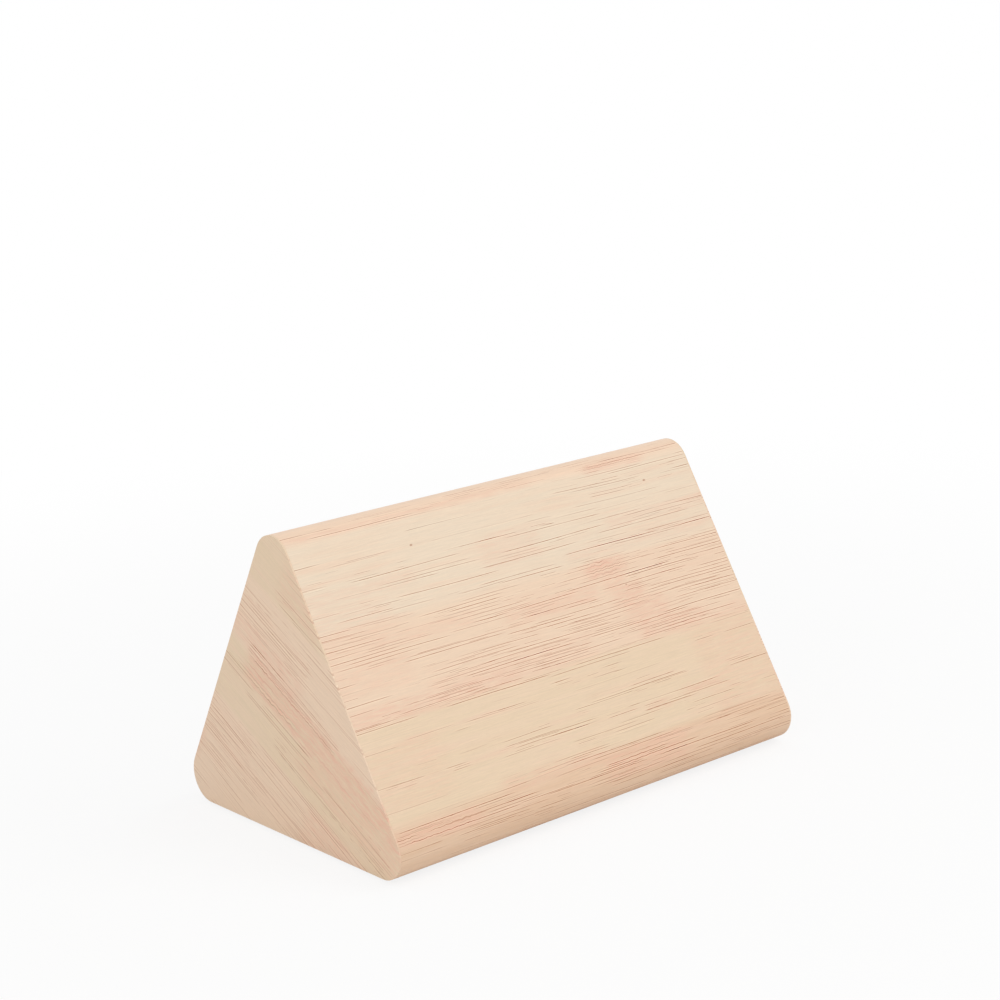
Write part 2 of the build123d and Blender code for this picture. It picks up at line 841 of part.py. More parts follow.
def display_screw_set():
    screw = Pos(0, 0, -display_inner) * Rot(180, 0, 0) * pan_screw(
        display_screw_radius, display_screw_length)
    return [FRONT * one for one in at_each(display_screws, screw)]


def display_driver():
    chip = block(driver_length, driver_width, -display_inner, -display_inner - driver_height)
    return FRONT * Pos(*driver_place, 0) * chip


def headers():
    """Plug housings for the flat cable, one on the inner side of each board."""
    main = Pos(pcb_x, main_header_rise, 0) * block(
        header_length, header_width, -pcb_inner, -pcb_inner - header_height)
    display = Pos(-pcb_x, display_header_rise, 0) * block(
        header_length, header_width, -display_inner, -display_inner - header_height)
    return [BACK * main, FRONT * display]


def ribbon_cable():
    """Flat cable that leaves each header squarely and bends between them."""
    start = BACK * Pos(pcb_x, main_header_rise, -pcb_inner - header_height)
    end = FRONT * Pos(-pcb_x, display_header_rise, -display_inner - header_height)
    after = start * Pos(0, 0, -ribbon_lead)
    before = end * Pos(0, 0, -ribbon_lead)
    points = [Vector(spot.position.Y, spot.position.Z) for spot in (start, after, before, end)]
    path = FilletPolyline(*points, radius=ribbon_bend)
    side = Plane((-pcb_x - ribbon_width / 2, 0, 0), x_dir=(0, 1, 0), z_dir=(1, 0, 0))
    return extrude(side * trace(path, ribbon_thickness), ribbon_width, dir=(1, 0, 0))


def battery_lead(tail):
    """Wire from a contact's tail, under the bay's floor and up to the main board."""
    x = tail[0] + contact_thickness / 2
    pad = pcb_left + lead_pad_inset
    points = [(x, tail[1], -lead_drop), (pad, tail[1], -lead_drop), (pad, tail[1], -pcb_inner)]
    path = Polyline(*points)
    section = Plane(path @ 0, z_dir=path % 0) * Circle(lead_radius)
    return BACK * sweep(section, path, transition=Transition.RIGHT)


def plate_screw_set():
    return [BACK * one for one in at_each(plate_screws, countersunk_screw())]


parts = {
    "front_board": front_board(),
    "back_board": back_board(),
    "base_board": base_board(),
    "end_board_left": end_board(-1),
    "end_board_right": end_board(1),
    "veneer_wrap": veneer_wrap(),
    "end_veneer_left": end_veneer(-1),
    "end_veneer_right": end_veneer(1),
    "feet": feet(),
    "back_plate": BACK * back_plate(),
    "battery_door": BACK * battery_door(),
    "plate_screws": plate_screw_set(),
    "contact_plates": contact_plates(),
    "contact_springs": contact_springs(),
    "switch_bodies": switch_bodies(),
    "main_pcb": main_pcb(),
    "pcb_screws": pcb_screws(),
    "power_jack": power_jack(),
    "jack_pin": jack_pin(),
    "buzzer": buzzer(),
    "microphone": microphone(),
    "temperature_sensor": temperature_sensor(),
    "microcontroller": microcontroller(),
    "crystal": crystal(),
    "capacitor": capacitor(),
    "coin_cell": coin_cell(),
    "coin_cell_holder": coin_holder(),
    "display_pcb": display_pcb(),
    "light_frame": light_frame(),
    "diffuser_film": diffuser_film(),
    "light_chips": light_chips(),
    "display_screws": display_screw_set(),
    "display_driver": display_driver(),
    "cable_headers": headers(),
    "ribbon_cable": ribbon_cable(),
    "lead_negative": battery_lead(contact_tails()[0]),
    "lead_positive": battery_lead(contact_tails()[1]),
}
for number in range(cell_count):
    parts[f"battery_cell_{number + 1}"] = BACK * battery_cell(number)
for name, place in zip(button_names, button_places()):
    parts[f"button_{name}"] = button(place)
    parts[f"switch_plunger_{name}"] = plunger(place)

os.makedirs("parts", exist_ok=True)
for name, shape in parts.items():
    solids = shape if isinstance(shape, list) else shape.solids()
    export_step(Compound(children=list(solids)), f"parts/{name}.step")
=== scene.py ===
"""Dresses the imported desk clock: the bamboo-veneered case, the moulded back with its battery bay
and buttons, and the boards and wires inside. Lengths are metres; the veneer's own pattern is laid
out in millimetres along the bar and round its section."""

import json
from math import atan2, copysign, cos, pi, radians, sin, sqrt, tau
from random import Random

import bmesh
import bpy
from bpy.props import FloatProperty, FloatVectorProperty, IntProperty, PointerProperty
from mathutils import Matrix, Vector

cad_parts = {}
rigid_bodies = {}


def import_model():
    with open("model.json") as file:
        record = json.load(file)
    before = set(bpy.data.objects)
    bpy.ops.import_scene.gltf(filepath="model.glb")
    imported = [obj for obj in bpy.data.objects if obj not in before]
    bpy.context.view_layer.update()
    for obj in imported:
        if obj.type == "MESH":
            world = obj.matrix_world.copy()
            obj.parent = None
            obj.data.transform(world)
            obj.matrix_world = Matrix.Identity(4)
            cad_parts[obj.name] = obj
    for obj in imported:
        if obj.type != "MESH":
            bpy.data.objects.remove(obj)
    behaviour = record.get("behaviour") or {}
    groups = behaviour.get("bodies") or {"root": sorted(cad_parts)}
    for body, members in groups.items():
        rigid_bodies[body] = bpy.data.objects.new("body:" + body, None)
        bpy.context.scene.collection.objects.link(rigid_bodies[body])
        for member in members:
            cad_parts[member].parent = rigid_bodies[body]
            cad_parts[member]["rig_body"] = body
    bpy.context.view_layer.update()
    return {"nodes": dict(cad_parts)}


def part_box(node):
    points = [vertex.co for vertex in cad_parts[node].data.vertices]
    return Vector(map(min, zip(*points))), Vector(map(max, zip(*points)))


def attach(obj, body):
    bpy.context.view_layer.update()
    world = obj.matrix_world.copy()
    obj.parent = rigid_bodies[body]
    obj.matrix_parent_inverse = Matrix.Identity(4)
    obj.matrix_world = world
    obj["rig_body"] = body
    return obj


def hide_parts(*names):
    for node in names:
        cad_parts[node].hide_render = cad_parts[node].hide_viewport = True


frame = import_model()

bl_info = {
    "name": "Desk Clock",
    "version": (1, 0, 0),
    "blender": (4, 5, 0),
    "location": "View3D > Sidebar > Desk Clock",
    "description": "Builds the finish of a three-sided wooden desk clock over its packed frame",
    "category": "Object",
}

MM = 0.001
ROOT = "clock_body"
BUTTONS = ("set", "up", "down")

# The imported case's section: its side to the sharp corners, its rounding, the pads' height, and how
# far a sheet is sunk so that its facets stay inside the solid.
CASE_SIDE, CORNER_RADIUS, FOOT_HEIGHT, SUNK = 0.110, 0.008, 0.0008, 0.000014
# From the section's middle to each of its sides, and the middle's height over the floor.
INNER = CASE_SIDE / (2 * sqrt(3))
MIDDLE = FOOT_HEIGHT + INNER
# The section unrolled: a side's flat, a corner's arc, the two together and the seam's place. A
# distance round it starts at the foot of the front slope.
FLAT = CASE_SIDE - 2 * CORNER_RADIUS * sqrt(3)
ARC = CORNER_RADIUS * radians(120)
TURN = FLAT + ARC
SEAM = -ARC - FLAT / 2
# Between the points that carry the veneer's pattern: along the bar, and both ways on its ends.
RULING = 2 * MM


# Properties


def length(name, description, default):
    return FloatProperty(name=name, description=description, default=default, min=0.0,
                         unit="LENGTH", subtype="DISTANCE")


def share(name, description, default):
    return FloatProperty(name=name, description=description, default=default, min=0.0, max=1.0,
                         subtype="FACTOR")


def angle(name, description, degrees):
    return FloatProperty(name=name, description=description, default=radians(degrees),
                         unit="ROTATION", subtype="ANGLE")


def power(name, description, default):
    return FloatProperty(name=name, description=description, default=default, min=0.0,
                         unit="POWER")


def colour(name, description, *default):
    return FloatVectorProperty(name=name, description=description, default=default, size=3,
                               min=0.0, max=1.0, subtype="COLOR")


def position(name, description, *default):
    return FloatVectorProperty(name=name, description=description, default=default, size=3,
                               unit="LENGTH", subtype="TRANSLATION")


class ClockVeneer(bpy.types.PropertyGroup):
    """The case's bamboo veneer."""

    thickness: length("Veneer thickness", "Thickness of the wrap and the end faces", 0.0005)
    edge_ease: length("Edge ease", "Rounding sanded on the end faces' edges", 0.00022)
    seam_gap: length("Seam gap", "Gap between the wrap's two edges under the base", 0.0003)
    plate_gap: length("Plate gap", "Gap between the veneer and the back plate", 0.00025)
    plate_corner: length("Plate corner", "Rounding of the back plate's corners", 0.004)
    strip_width: length("Strip width", "Width of one bamboo strip in the veneer", 0.0268)
    end_strip: length("End strip width", "Width of a strip on the end faces", 0.022)
    grain_slant: angle("End grain slant", "Fall of the end faces' grain", 28.5)
    cream: colour("Cream", "The palest strips", 0.826, 0.678, 0.518)
    rose: colour("Rose", "The pinker strips", 0.842, 0.640, 0.474)
    honey: colour("Honey", "The yellower strips", 0.800, 0.624, 0.440)
    tan: colour("Tan", "The darkest strips", 0.765, 0.536, 0.368)
    peach: colour("Peach", "The warmest strips", 0.900, 0.672, 0.500)
    blush: colour("Blush", "Pink round the nodes and beside the streaks", 0.810, 0.480, 0.350)
    streak: colour("Streak", "What the dashes leave of a strip's colour", 0.63, 0.45, 0.385)
    roughness: share("Roughness", "Roughness of the satin lacquer", 0.46)


class ClockMoulding(bpy.types.PropertyGroup):
    """The moulded back, its door, buttons and marks."""

    plate: colour("Back plate", "Colour of the back plate and the door", 0.022, 0.022, 0.024)
    mark: colour("Marks", "Colour of the printed marks", 0.62, 0.62, 0.60)
    cap: colour("Button caps", "Colour of the buttons", 0.42, 0.42, 0.44)
    pad: colour("Feet", "Colour of the pads under the base", 0.030, 0.029, 0.028)
    switch: colour("Switches", "Colour of the switch bodies", 0.03, 0.03, 0.032)
    plunger: colour("Plungers", "Colour of the switch plungers", 0.06, 0.03, 0.02)
    edge_round: length("Edge rounding", "Rounding of the moulded edges", 0.00018)
    texture_size: length("Spark texture", "Size of the mould's fine texture", 0.00035)
    cap_radius: length("Cap radius", "Radius of a button's cap", 0.0034)
    cap_dish: length("Cap dish", "Depth of the hollow in each button", 0.00022)
    cap_round: length("Cap rounding", "Rounding of each button's edge", 0.00035)
    cap_foot: length("Cap foot", "Height of a cap's foot over the button's own", 0.003)
    flange_depth: length("Flange depth", "How deep a button's flange starts", 0.0029)
    mark_size: length("Mark size", "Height of the marks beside the buttons", 0.0024)
    mark_gap: length("Mark gap", "From a button's edge to its mark", 0.0016)
    mark_thickness: length("Mark thickness", "How far a mark stands proud", 0.00005)
    arrow_size: length("Arrow size", "Half the width of the door's arrow", 0.0026)
    arrow_inset: length("Arrow inset", "From the door's upper edge to its arrow", 0.017)
    arrow_height: length("Arrow height", "How far the door's arrow stands proud", 0.00015)


class ClockMetal(bpy.types.PropertyGroup):
    """Screws, contacts, springs and cells."""

    steel: colour("Blackened steel", "Colour of the screws", 0.090, 0.088, 0.086)
    nickel: colour("Nickel", "Colour of the contacts and springs", 0.62, 0.60, 0.56)
    brass: colour("Brass", "Colour of the socket's pin", 0.72, 0.50, 0.22)
    sleeve: colour("Cell sleeve", "Main colour of the cells", 0.030, 0.120, 0.070)
    band: colour("Cell band", "Colour of the ring at each cell's nub", 0.62, 0.42, 0.16)
    ink: colour("Cell print", "Colour of the signs on the cells", 0.70, 0.70, 0.66)
    wire: length("Spring wire", "Thickness of the springs' wire", 0.0006)
    nub: length("Nub height", "How far a cell's nub stands out", 0.0008)
    nub_radius: length("Nub radius", "Radius of a cell's nub", 0.0019)
    sign_size: length("Sign size", "Length of the bars of a cell's signs", 0.0024)
    sign_width: length("Sign width", "Width of the bars of a cell's signs", 0.0006)
    recess: share("Recess", "Width of a screw's cross, as a share of its head", 0.62)
    spring_turns: FloatProperty(name="Spring turns", description="Turns of each coil",
                                default=3.5, min=1.0)


class ClockBoards(bpy.types.PropertyGroup):
    """Circuit boards, their parts and the wires."""

    mask: colour("Main board", "Solder mask of the main board", 0.012, 0.095, 0.040)
    display_mask: colour("Display board", "Solder mask of the display's board", 0.70, 0.71, 0.68)
    part: colour("Black parts", "Moulded electronic parts", 0.026, 0.026, 0.028)
    can: colour("Metal cans", "Crystal and microphone", 0.52, 0.52, 0.53)
    frame: colour("Light frame", "White block with the display's wells", 0.72, 0.72, 0.69)
    film: colour("Diffuser", "Film over the display's wells", 0.82, 0.82, 0.80)
    resin: colour("Light chips", "Resin of the light chips", 0.80, 0.74, 0.45)
    core: colour("Board core", "Fibre board under the veneer", 0.42, 0.27, 0.15)
    fleck: colour("Board flecks", "Dark flecks in the fibre board", 0.16, 0.09, 0.045)
    header: colour("Headers", "Plugs at the flat cable's ends", 0.66, 0.65, 0.60)
    cable: colour("Flat cable", "Insulation of the flat cable", 0.34, 0.35, 0.37)
    negative: colour("Black lead", "Insulation of the negative lead", 0.012, 0.012, 0.013)
    positive: colour("Red lead", "Insulation of the positive lead", 0.34, 0.012, 0.010)
    leg_reach: length("Leg length", "Length of a chip's leg", 0.0009)
    leg_width: length("Leg width", "Width of a chip's leg", 0.00042)
    leg_thickness: length("Leg thickness", "Thickness of a chip's leg", 0.00016)
    leg_count: IntProperty(name="Legs", description="Legs along each side of a chip", default=8,
                           min=1)


class ClockStage(bpy.types.PropertyGroup):
    """Floor, lamps and camera."""

    floor: colour("Floor", "Colour of the floor", 0.92, 0.92, 0.92)
    floor_half: length("Floor reach", "Half the floor's side", 3.0)
    floor_drop: length("Floor drop", "How far the floor lies under the pads", 0.00002)
    ambient: share("Ambient", "Strength of the even light all round", 0.66)
    shadow: share("Shadow", "How much of its own shade the floor keeps by the clock", 0.16)
    shadow_near: length("Shadow near", "Where the floor's shade begins to fade", 0.12)
    shadow_far: length("Shadow far", "Where the floor is plain white", 0.5)
    key: power("Key lamp", "Power of the large lamp", 5.6)
    key_tint: colour("Key tint", "Colour of the large lamp", 1.0, 0.99, 0.975)
    key_place: position("Key place", "Where the large lamp hangs", 0.55, -0.75, 1.15)
    fill: power("Fill lamp", "Power of the lamp at the left", 2.3)
    fill_tint: colour("Fill tint", "Colour of the lamp at the left", 1.0, 1.0, 1.0)
    fill_place: position("Fill place", "Where the lamp at the left hangs", -0.95, -0.45, 0.55)
    lamp_size: length("Lamp size", "Side of each square lamp", 0.9)
    aim: position("Lamp aim", "The point that the lamps face", 0.0, 0.0, 0.04)
    azimuth: angle("Azimuth", "The camera's turn round the clock", -39.7421)
    elevation: angle("Elevation", "The camera's tilt from level", 13.8096)
    roll: angle("Roll", "The camera's turn about its own axis", -2.8708)
    stand: position("Camera place", "Across, up and back in the camera's own frame",
                0.0005289, 0.0798822, 0.6833488)
    lens: FloatProperty(name="Lens", description="Focal length, in millimetres on a 36 mm sensor",
                        default=82.453, min=1.0)


# Node trees


class Value:
    """A node's output, on which Python's arithmetic adds the nodes for it."""

    def __init__(self, nodes, socket):
        self.nodes, self.socket = nodes, socket

    def maths(self, operation, *values, clamp=False):
        return self.nodes.node("ShaderNodeMath", {"operation": operation, "use_clamp": clamp},
                               values)

    def __add__(self, other):
        return self.maths("ADD", self, other)

    def __sub__(self, other):
        return self.maths("SUBTRACT", self, other)

    def __rsub__(self, other):
        return self.maths("SUBTRACT", other, self)

    def __mul__(self, other):
        return self.maths("MULTIPLY", self, other)

    def __truediv__(self, other):
        return self.maths("DIVIDE", self, other)

    def __rtruediv__(self, other):
        return self.maths("DIVIDE", other, self)

    __radd__, __rmul__ = __add__, __mul__

    def __abs__(self):
        return self.maths("ABSOLUTE", self)

    def floor(self):
        return self.maths("FLOOR", self)

    def clamped(self):
        return self.maths("ADD", self, 0, clamp=True)

    def step(self, low, high):
        """Smooth step of this value from low to high."""
        return self.nodes.node("ShaderNodeMapRange", {"interpolation_type": "SMOOTHSTEP"},
                               {"Value": self, "From Min": low, "From Max": high})


class Nodes:
    """A node tree that is filled through one method."""

    def __init__(self, tree):
        self.tree = tree

    def node(self, kind, settings=None, values=(), output=0):
        """Adds a node with its settings, a ramp's stops among them, and feeds its sockets. A
        list feeds one socket several times."""
        made = self.tree.nodes.new(kind)
        for name, value in (settings or {}).items():
            if name == "stops":
                self.fill_ramp(made.color_ramp.elements, value)
            else:
                setattr(made, name, value)
        for key, value in values.items() if isinstance(values, dict) else enumerate(values):
            for item in value if isinstance(value, list) else [value]:
                self.feed(made.inputs[key], item)
        return Value(self, made.outputs[output])

    def fill_ramp(self, elements, stops):
        """Sets a ramp to its stops, each a place along it and a tint."""
        while len(elements) < len(stops):
            elements.new(1.0)
        for element, (along, tint) in zip(elements, stops):
            element.position, element.color = along, tint

    def feed(self, socket, value):
        """Links or sets a socket. A tuple that holds a Value becomes a vector."""
        if isinstance(value, tuple) and any(isinstance(part, Value) for part in value):
            value = self.node("ShaderNodeCombineXYZ", values=value)
        if isinstance(value, Value):
            self.tree.links.new(value.socket, socket)
        else:
            socket.default_value = (*value, 1.0) if socket.type == "RGBA" else value

    def outputs(self, value):
        """Every output of the node that a value comes from."""
        return [Value(self, socket) for socket in value.socket.node.outputs]

    def surface(self, factor, first, second):
        """Feeds a mix of two shaders to the tree's own output."""
        mixed = self.node("ShaderNodeMixShader", values=[factor, first, second])
        for node in self.tree.nodes:
            if node.type.startswith("OUTPUT_"):
                self.feed(node.inputs["Surface"], mixed)


class Finish(Nodes):
    """A material: one Principled shader, fed by procedural patterns."""

    def __init__(self, name, **constants):
        self.material = bpy.data.materials.new(name)
        self.material.use_nodes = True
        super().__init__(self.material.node_tree)
        self.shader = self.tree.nodes["Principled BSDF"]
        for socket, value in constants.items():
            self.feed(self.shader.inputs[socket.replace("_", " ")], value)

    def done(self, base, roughness, height, distance, strength):
        """Feeds the shader, with the height as a bump, and hands over the material."""
        bump = self.node("ShaderNodeBump", values={
            "Height": height, "Distance": distance, "Strength": strength})
        for socket, value in (("Base Color", base), ("Roughness", roughness), ("Normal", bump)):
            self.feed(self.shader.inputs[socket], value)
        return self.material

    def scaled(self, vector, scale):
        return self.node("ShaderNodeVectorMath", {"operation": "SCALE"},
                         {"Vector": vector, "Scale": scale})

    def place(self, scale=1000.0):
        """Object coordinates, in millimetres unless scaled otherwise."""
        return self.scaled(self.node("ShaderNodeTexCoord", output="Object"), scale)

    def far(self, vector):
        """The length of a vector."""
        return self.node("ShaderNodeVectorMath", {"operation": "LENGTH"}, [vector], "Value")

    def split(self, vector):
        return self.outputs(self.node("ShaderNodeSeparateXYZ", values=[vector]))

    def noise(self, vector, scale, detail=2.0, roughness=0.5):
        return self.node("ShaderNodeTexNoise", values={
            "Vector": vector, "Scale": scale, "Detail": detail, "Roughness": roughness})

    def mix(self, factor, first, second, **settings):
        return self.node("ShaderNodeMix", {"data_type": "RGBA", **settings},
                         {0: factor, 6: first, 7: second}, output=2)

    def ramp(self, factor, stops):
        """A ramp's colour and its alpha."""
        return self.outputs(self.node("ShaderNodeValToRGB", {"stops": stops}, [factor]))

    def attribute(self, name):
        return self.node("ShaderNodeAttribute", {"attribute_name": name}, output="Fac")


class Growth(Nodes):
    """A geometry node group with named sizes, which sets a shape on each point of a mesh."""

    def __init__(self, name, *sizes):
        super().__init__(bpy.data.node_groups.new(name, "GeometryNodeTree"))
        self.entry = self.tree.nodes.new("NodeGroupInput")
        kinds = {"Places": "Geometry", **dict.fromkeys(sizes, "Float"), "Finish": "Material"}
        for socket, kind in kinds.items():
            self.tree.interface.new_socket(socket, in_out="INPUT", socket_type="NodeSocket" + kind)
        self.tree.interface.new_socket("Result", in_out="OUTPUT",
                                       socket_type="NodeSocketGeometry")

    def given(self, *names):
        """The group's inputs by name."""
        return [Value(self, self.entry.outputs[name]) for name in names]

    def raised(self, shape, height):
        return self.node("GeometryNodeTransform", values={
            "Geometry": shape, "Translation": (0.0, 0.0, height)})

    def block(self, x, y, z, low):
        """Box on the axis, with its underside at the height low."""
        return self.raised(self.node("GeometryNodeMeshCube", values={"Size": (x, y, z)}),
                           z * 0.5 + low)

    def without(self, shape, *tools):
        return self.node("GeometryNodeMeshBoolean", {"operation": "DIFFERENCE"},
                         {"Mesh 1": shape, "Mesh 2": list(tools)})

    def grow(self, *shapes):
        """Sets the shapes on each place, their +Z turned to the place's facing."""
        places, finish = self.given("Places", "Finish")
        facing = self.node("GeometryNodeInputNamedAttribute", {"data_type": "FLOAT_VECTOR"},
                           {"Name": "facing"})
        turn = self.node("FunctionNodeAlignRotationToVector", {"axis": "Z"}, {"Vector": facing})
        joined_shape = self.node("GeometryNodeJoinGeometry", values=[list(shapes)])
        grown_shape = self.node("GeometryNodeInstanceOnPoints", values={
            "Points": places, "Instance": joined_shape, "Rotation": turn})
        real = self.node("GeometryNodeRealizeInstances", values=[grown_shape])
        dressed = self.node("GeometryNodeSetMaterial", values={
            "Geometry": real, "Material": finish})
        self.feed(self.tree.nodes.new("NodeGroupOutput").inputs["Result"], dressed)
        return self.tree


# Mesh helpers


def new_object(name, data, *materials):
    made = bpy.data.objects.new(name, data)
    bpy.context.scene.collection.objects.link(made)
    for material in materials:
        data.materials.append(material)
    return made


def from_shell(name, shell, *materials):
    """An object from a bmesh, which is freed."""
    mesh = bpy.data.meshes.new(name)
    shell.to_mesh(mesh)
    shell.free()
    return new_object(name, mesh, *materials)


def settled(made):
    """The object with its modifiers applied to its mesh."""
    evaluated = made.evaluated_get(bpy.context.evaluated_depsgraph_get())
    mesh = bpy.data.meshes.new_from_object(evaluated)
    made.modifiers.clear()
    old, made.data = made.data, mesh
    bpy.data.meshes.remove(old)
    mesh.name = made.name
    return made


def shade(made, sharp=35.0):
    """Smooth shading with the edges over so many degrees kept sharp."""
    made.data.shade_smooth()
    made.data.set_sharp_from_angle(angle=radians(sharp))
    return made


def belongs(made, body, slot=None, *nodes):
    """Ties a finished piece to its body and hides the CAD nodes that it stands for. The slot is not
    used.
    """
    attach(made, body)
    if nodes:
        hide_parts(*nodes)
    return made


def dress(material, *nodes):
    """Puts a finish on CAD nodes that are shown as they are."""
    for node in nodes:
        mesh = frame["nodes"][node].data
        mesh.materials.clear()
        mesh.materials.append(material)


def grown(tree, name, places, facings, material, **sizes):
    """Evaluates a geometry node group on a set of places and keeps the plain mesh."""
    mesh = bpy.data.meshes.new(name)
    mesh.from_pydata(places, [], [])
    layer = mesh.attributes.new("facing", "FLOAT_VECTOR", "POINT")
    for item, facing in zip(layer.data, facings):
        item.vector = facing
    made = new_object(name, mesh)
    modifier = made.modifiers.new("Growth", "NODES")
    modifier.node_group = tree
    wanted = {"Finish": material, **{key.replace("_", " "): sizes[key] for key in sizes}}
    for item in tree.interface.items_tree:
        if item.name in wanted:
            modifier[item.identifier] = wanted[item.name]
    settled(made)
    left = made.data.attributes.get("facing")
    if left:
        made.data.attributes.remove(left)
    return made


def merged_shell(node):
    """A CAD node's mesh with its faces joined along their edges."""
    shell = bmesh.new()
    shell.from_mesh(frame["nodes"][node].data)
    bmesh.ops.remove_doubles(shell, verts=shell.verts, dist=0.002 * MM)
    return shell


def softened(node, name, material, width, segments=2):
    """A CAD node's shape with its sharp edges rounded."""
    shell = merged_shell(node)
    bmesh.ops.dissolve_limit(shell, angle_limit=radians(0.5), verts=shell.verts,
                             edges=shell.edges)
    made = shade(from_shell(name, shell, material), 75.0)
    bevel = made.modifiers.new("Rounding", "BEVEL")
    bevel.width, bevel.segments, bevel.angle_limit = width, segments, radians(40)
    weigh = made.modifiers.new("Normals", "WEIGHTED_NORMAL")
    weigh.weight, weigh.keep_sharp = 100, True
    return settled(made)


def solids_of(node, face):
    """The (lowest, highest) corner of each separate solid of a CAD node, in a face's frame."""
    into = FACES[face].inverted()
    shell = merged_shell(node)
    found, left = [], set(shell.verts)
    for start in shell.verts:
        island, queue = [], [start] if start in left else []
        left -= set(queue)
        while queue:
            vertex = queue.pop()
            island.append(into @ vertex.co)
            near = {edge.other_vert(vertex) for edge in vertex.link_edges} & left
            left -= near
            queue += near
        if island:
            found.append([Vector(map(limit, zip(*island))) for limit in (min, max)])
    shell.free()
    return found


def turned(name, profile, place, bands, materials, segments=64):
    """A lathed shape: rings of (radius, height), closed on the axis, with a material per band."""
    shell = bmesh.new()
    rings = []
    for radius, height in profile:
        count = segments if radius else 1
        rings.append([shell.verts.new((radius * cos(tau * i / count), radius * sin(tau * i / count),
                                       height)) for i in range(count)])
    for low, high, band in zip(rings, rings[1:], bands):
        for i in range(segments):
            j = (i + 1) % segments
            corners = [low[i % len(low)], low[j % len(low)], high[j % len(high)],
                       high[i % len(high)]]
            shell.faces.new(dict.fromkeys(corners)).material_index = band
    bmesh.ops.recalc_face_normals(shell, faces=shell.faces)
    shell.transform(place)
    return shade(from_shell(name, shell, *materials))


def rounding(radius, top, edge, first=0):
    """The quarter turn from a lathed shape's top to its side, in steps of 22.5 degrees."""
    return [(radius - edge + edge * sin(step * pi / 8), top - edge + edge * cos(step * pi / 8))
            for step in range(first, 5)]


def joined(name, first, *others):
    """Several mesh objects as one, under one name."""
    shell = bmesh.new()
    for made in (first, *others):
        shell.from_mesh(made.data)
    shell.to_mesh(first.data)
    shell.free()
    for made in others:
        bpy.data.meshes.remove(made.data)
    first.name = name
    return first


def flat_shape(name, outline, place, thickness, *materials):
    """A thin raised shape from its corner points, in a face's frame."""
    shell = bmesh.new()
    base = shell.faces.new([shell.verts.new((x, y, 0.0)) for x, y in outline])
    raised = bmesh.ops.extrude_face_region(shell, geom=[base])["geom"]
    bmesh.ops.translate(shell, vec=(0.0, 0.0, thickness),
                        verts=[v for v in raised if isinstance(v, bmesh.types.BMVert)])
    bmesh.ops.recalc_face_normals(shell, faces=shell.faces)
    shell.transform(place)
    return from_shell(name, shell, *materials)


def lettering(name, words, size, thickness, place, material):
    """A word as a thin raised mesh, centred on its place."""
    curve = bpy.data.curves.new(name, "FONT")
    curve.body, curve.size, curve.extrude = words, size, thickness / 2
    curve.align_x, curve.align_y, curve.resolution_u = "CENTER", "CENTER", 4
    made = new_object(name, curve)
    mesh = bpy.data.meshes.new_from_object(
        made.evaluated_get(bpy.context.evaluated_depsgraph_get()))
    bpy.data.objects.remove(made)
    bpy.data.curves.remove(curve)
    mesh.transform(place @ Matrix.Translation((0.0, 0.0, thickness / 2)))
    return new_object(name, mesh, material)


# The case's faces and its section


def face_frame(x, z, *origin):
    """Frame of an outer face: x along the bar, y up the slope, z outwards."""
    axes = Matrix((x, Vector(z).cross(x), z)).transposed()
    return Matrix.Translation(origin) @ axes.to_4x4()


# The two slopes lean 30 degrees from upright.
COS, SIN = cos(radians(30)), sin(radians(30))
FACES = {
    "front": face_frame((1, 0, 0), (0, -COS, SIN), 0, -INNER * COS, MIDDLE + INNER * SIN),
    "back": face_frame((-1, 0, 0), (0, COS, SIN), 0, INNER * COS, MIDDLE + INNER * SIN),
}


def at(face, x, y, z=0.0):
    """A face's frame, moved to a place on the face."""
    return FACES[face] @ Matrix.Translation((x, y, z))


def way(face, x, y, z):
    """A direction given in a face's frame."""
    return FACES[face].to_3x3() @ Vector((x, y, z))


def section_axes(side):
    """Unit (y, z) vectors out of one of the section's three sides, and along it."""
    slope = radians(30 + 120 * side)
    return Vector((-cos(slope), sin(slope))), Vector((sin(slope), cos(slope)))


def section_point(t):
    """(y, z) at the distance t round the section, a hair under the surface."""
    side, along = divmod(t, TURN)
    out, up = section_axes(side)
    lean = max(0.0, along - FLAT) / CORNER_RADIUS
    spot = out * (INNER - CORNER_RADIUS) + up * (min(along, FLAT) - FLAT / 2)
    spot += (out * cos(lean) + up * sin(lean)) * (CORNER_RADIUS - SUNK)
    return spot.x, spot.y + MIDDLE


def section_distance(y, z):
    """How far round the section a point lies, from seam to seam."""
    spot = Vector((y, z - MIDDLE))
    axes = [section_axes(side) for side in range(3)]
    reach, along, side = max((spot.dot(out), spot.dot(up), side)
                             for side, (out, up) in enumerate(axes))
    if abs(along) > FLAT / 2:
        lean = atan2(abs(along) - FLAT / 2, reach - INNER + CORNER_RADIUS)
        along = copysign(FLAT / 2 + lean * CORNER_RADIUS, along)
    t = side * TURN + FLAT / 2 + along
    return t - 3 * TURN if t > SEAM + 3 * TURN else t


def stations(count, arc_count):
    """Distances at which a sheet is ruled: so many steps on each flat and round each corner."""
    found = []
    for side in range(-1, 3):
        found += [side * TURN + FLAT * i / count for i in range(count + 1)]
        found += [side * TURN + FLAT + ARC * i / arc_count for i in range(1, arc_count)]
    return found
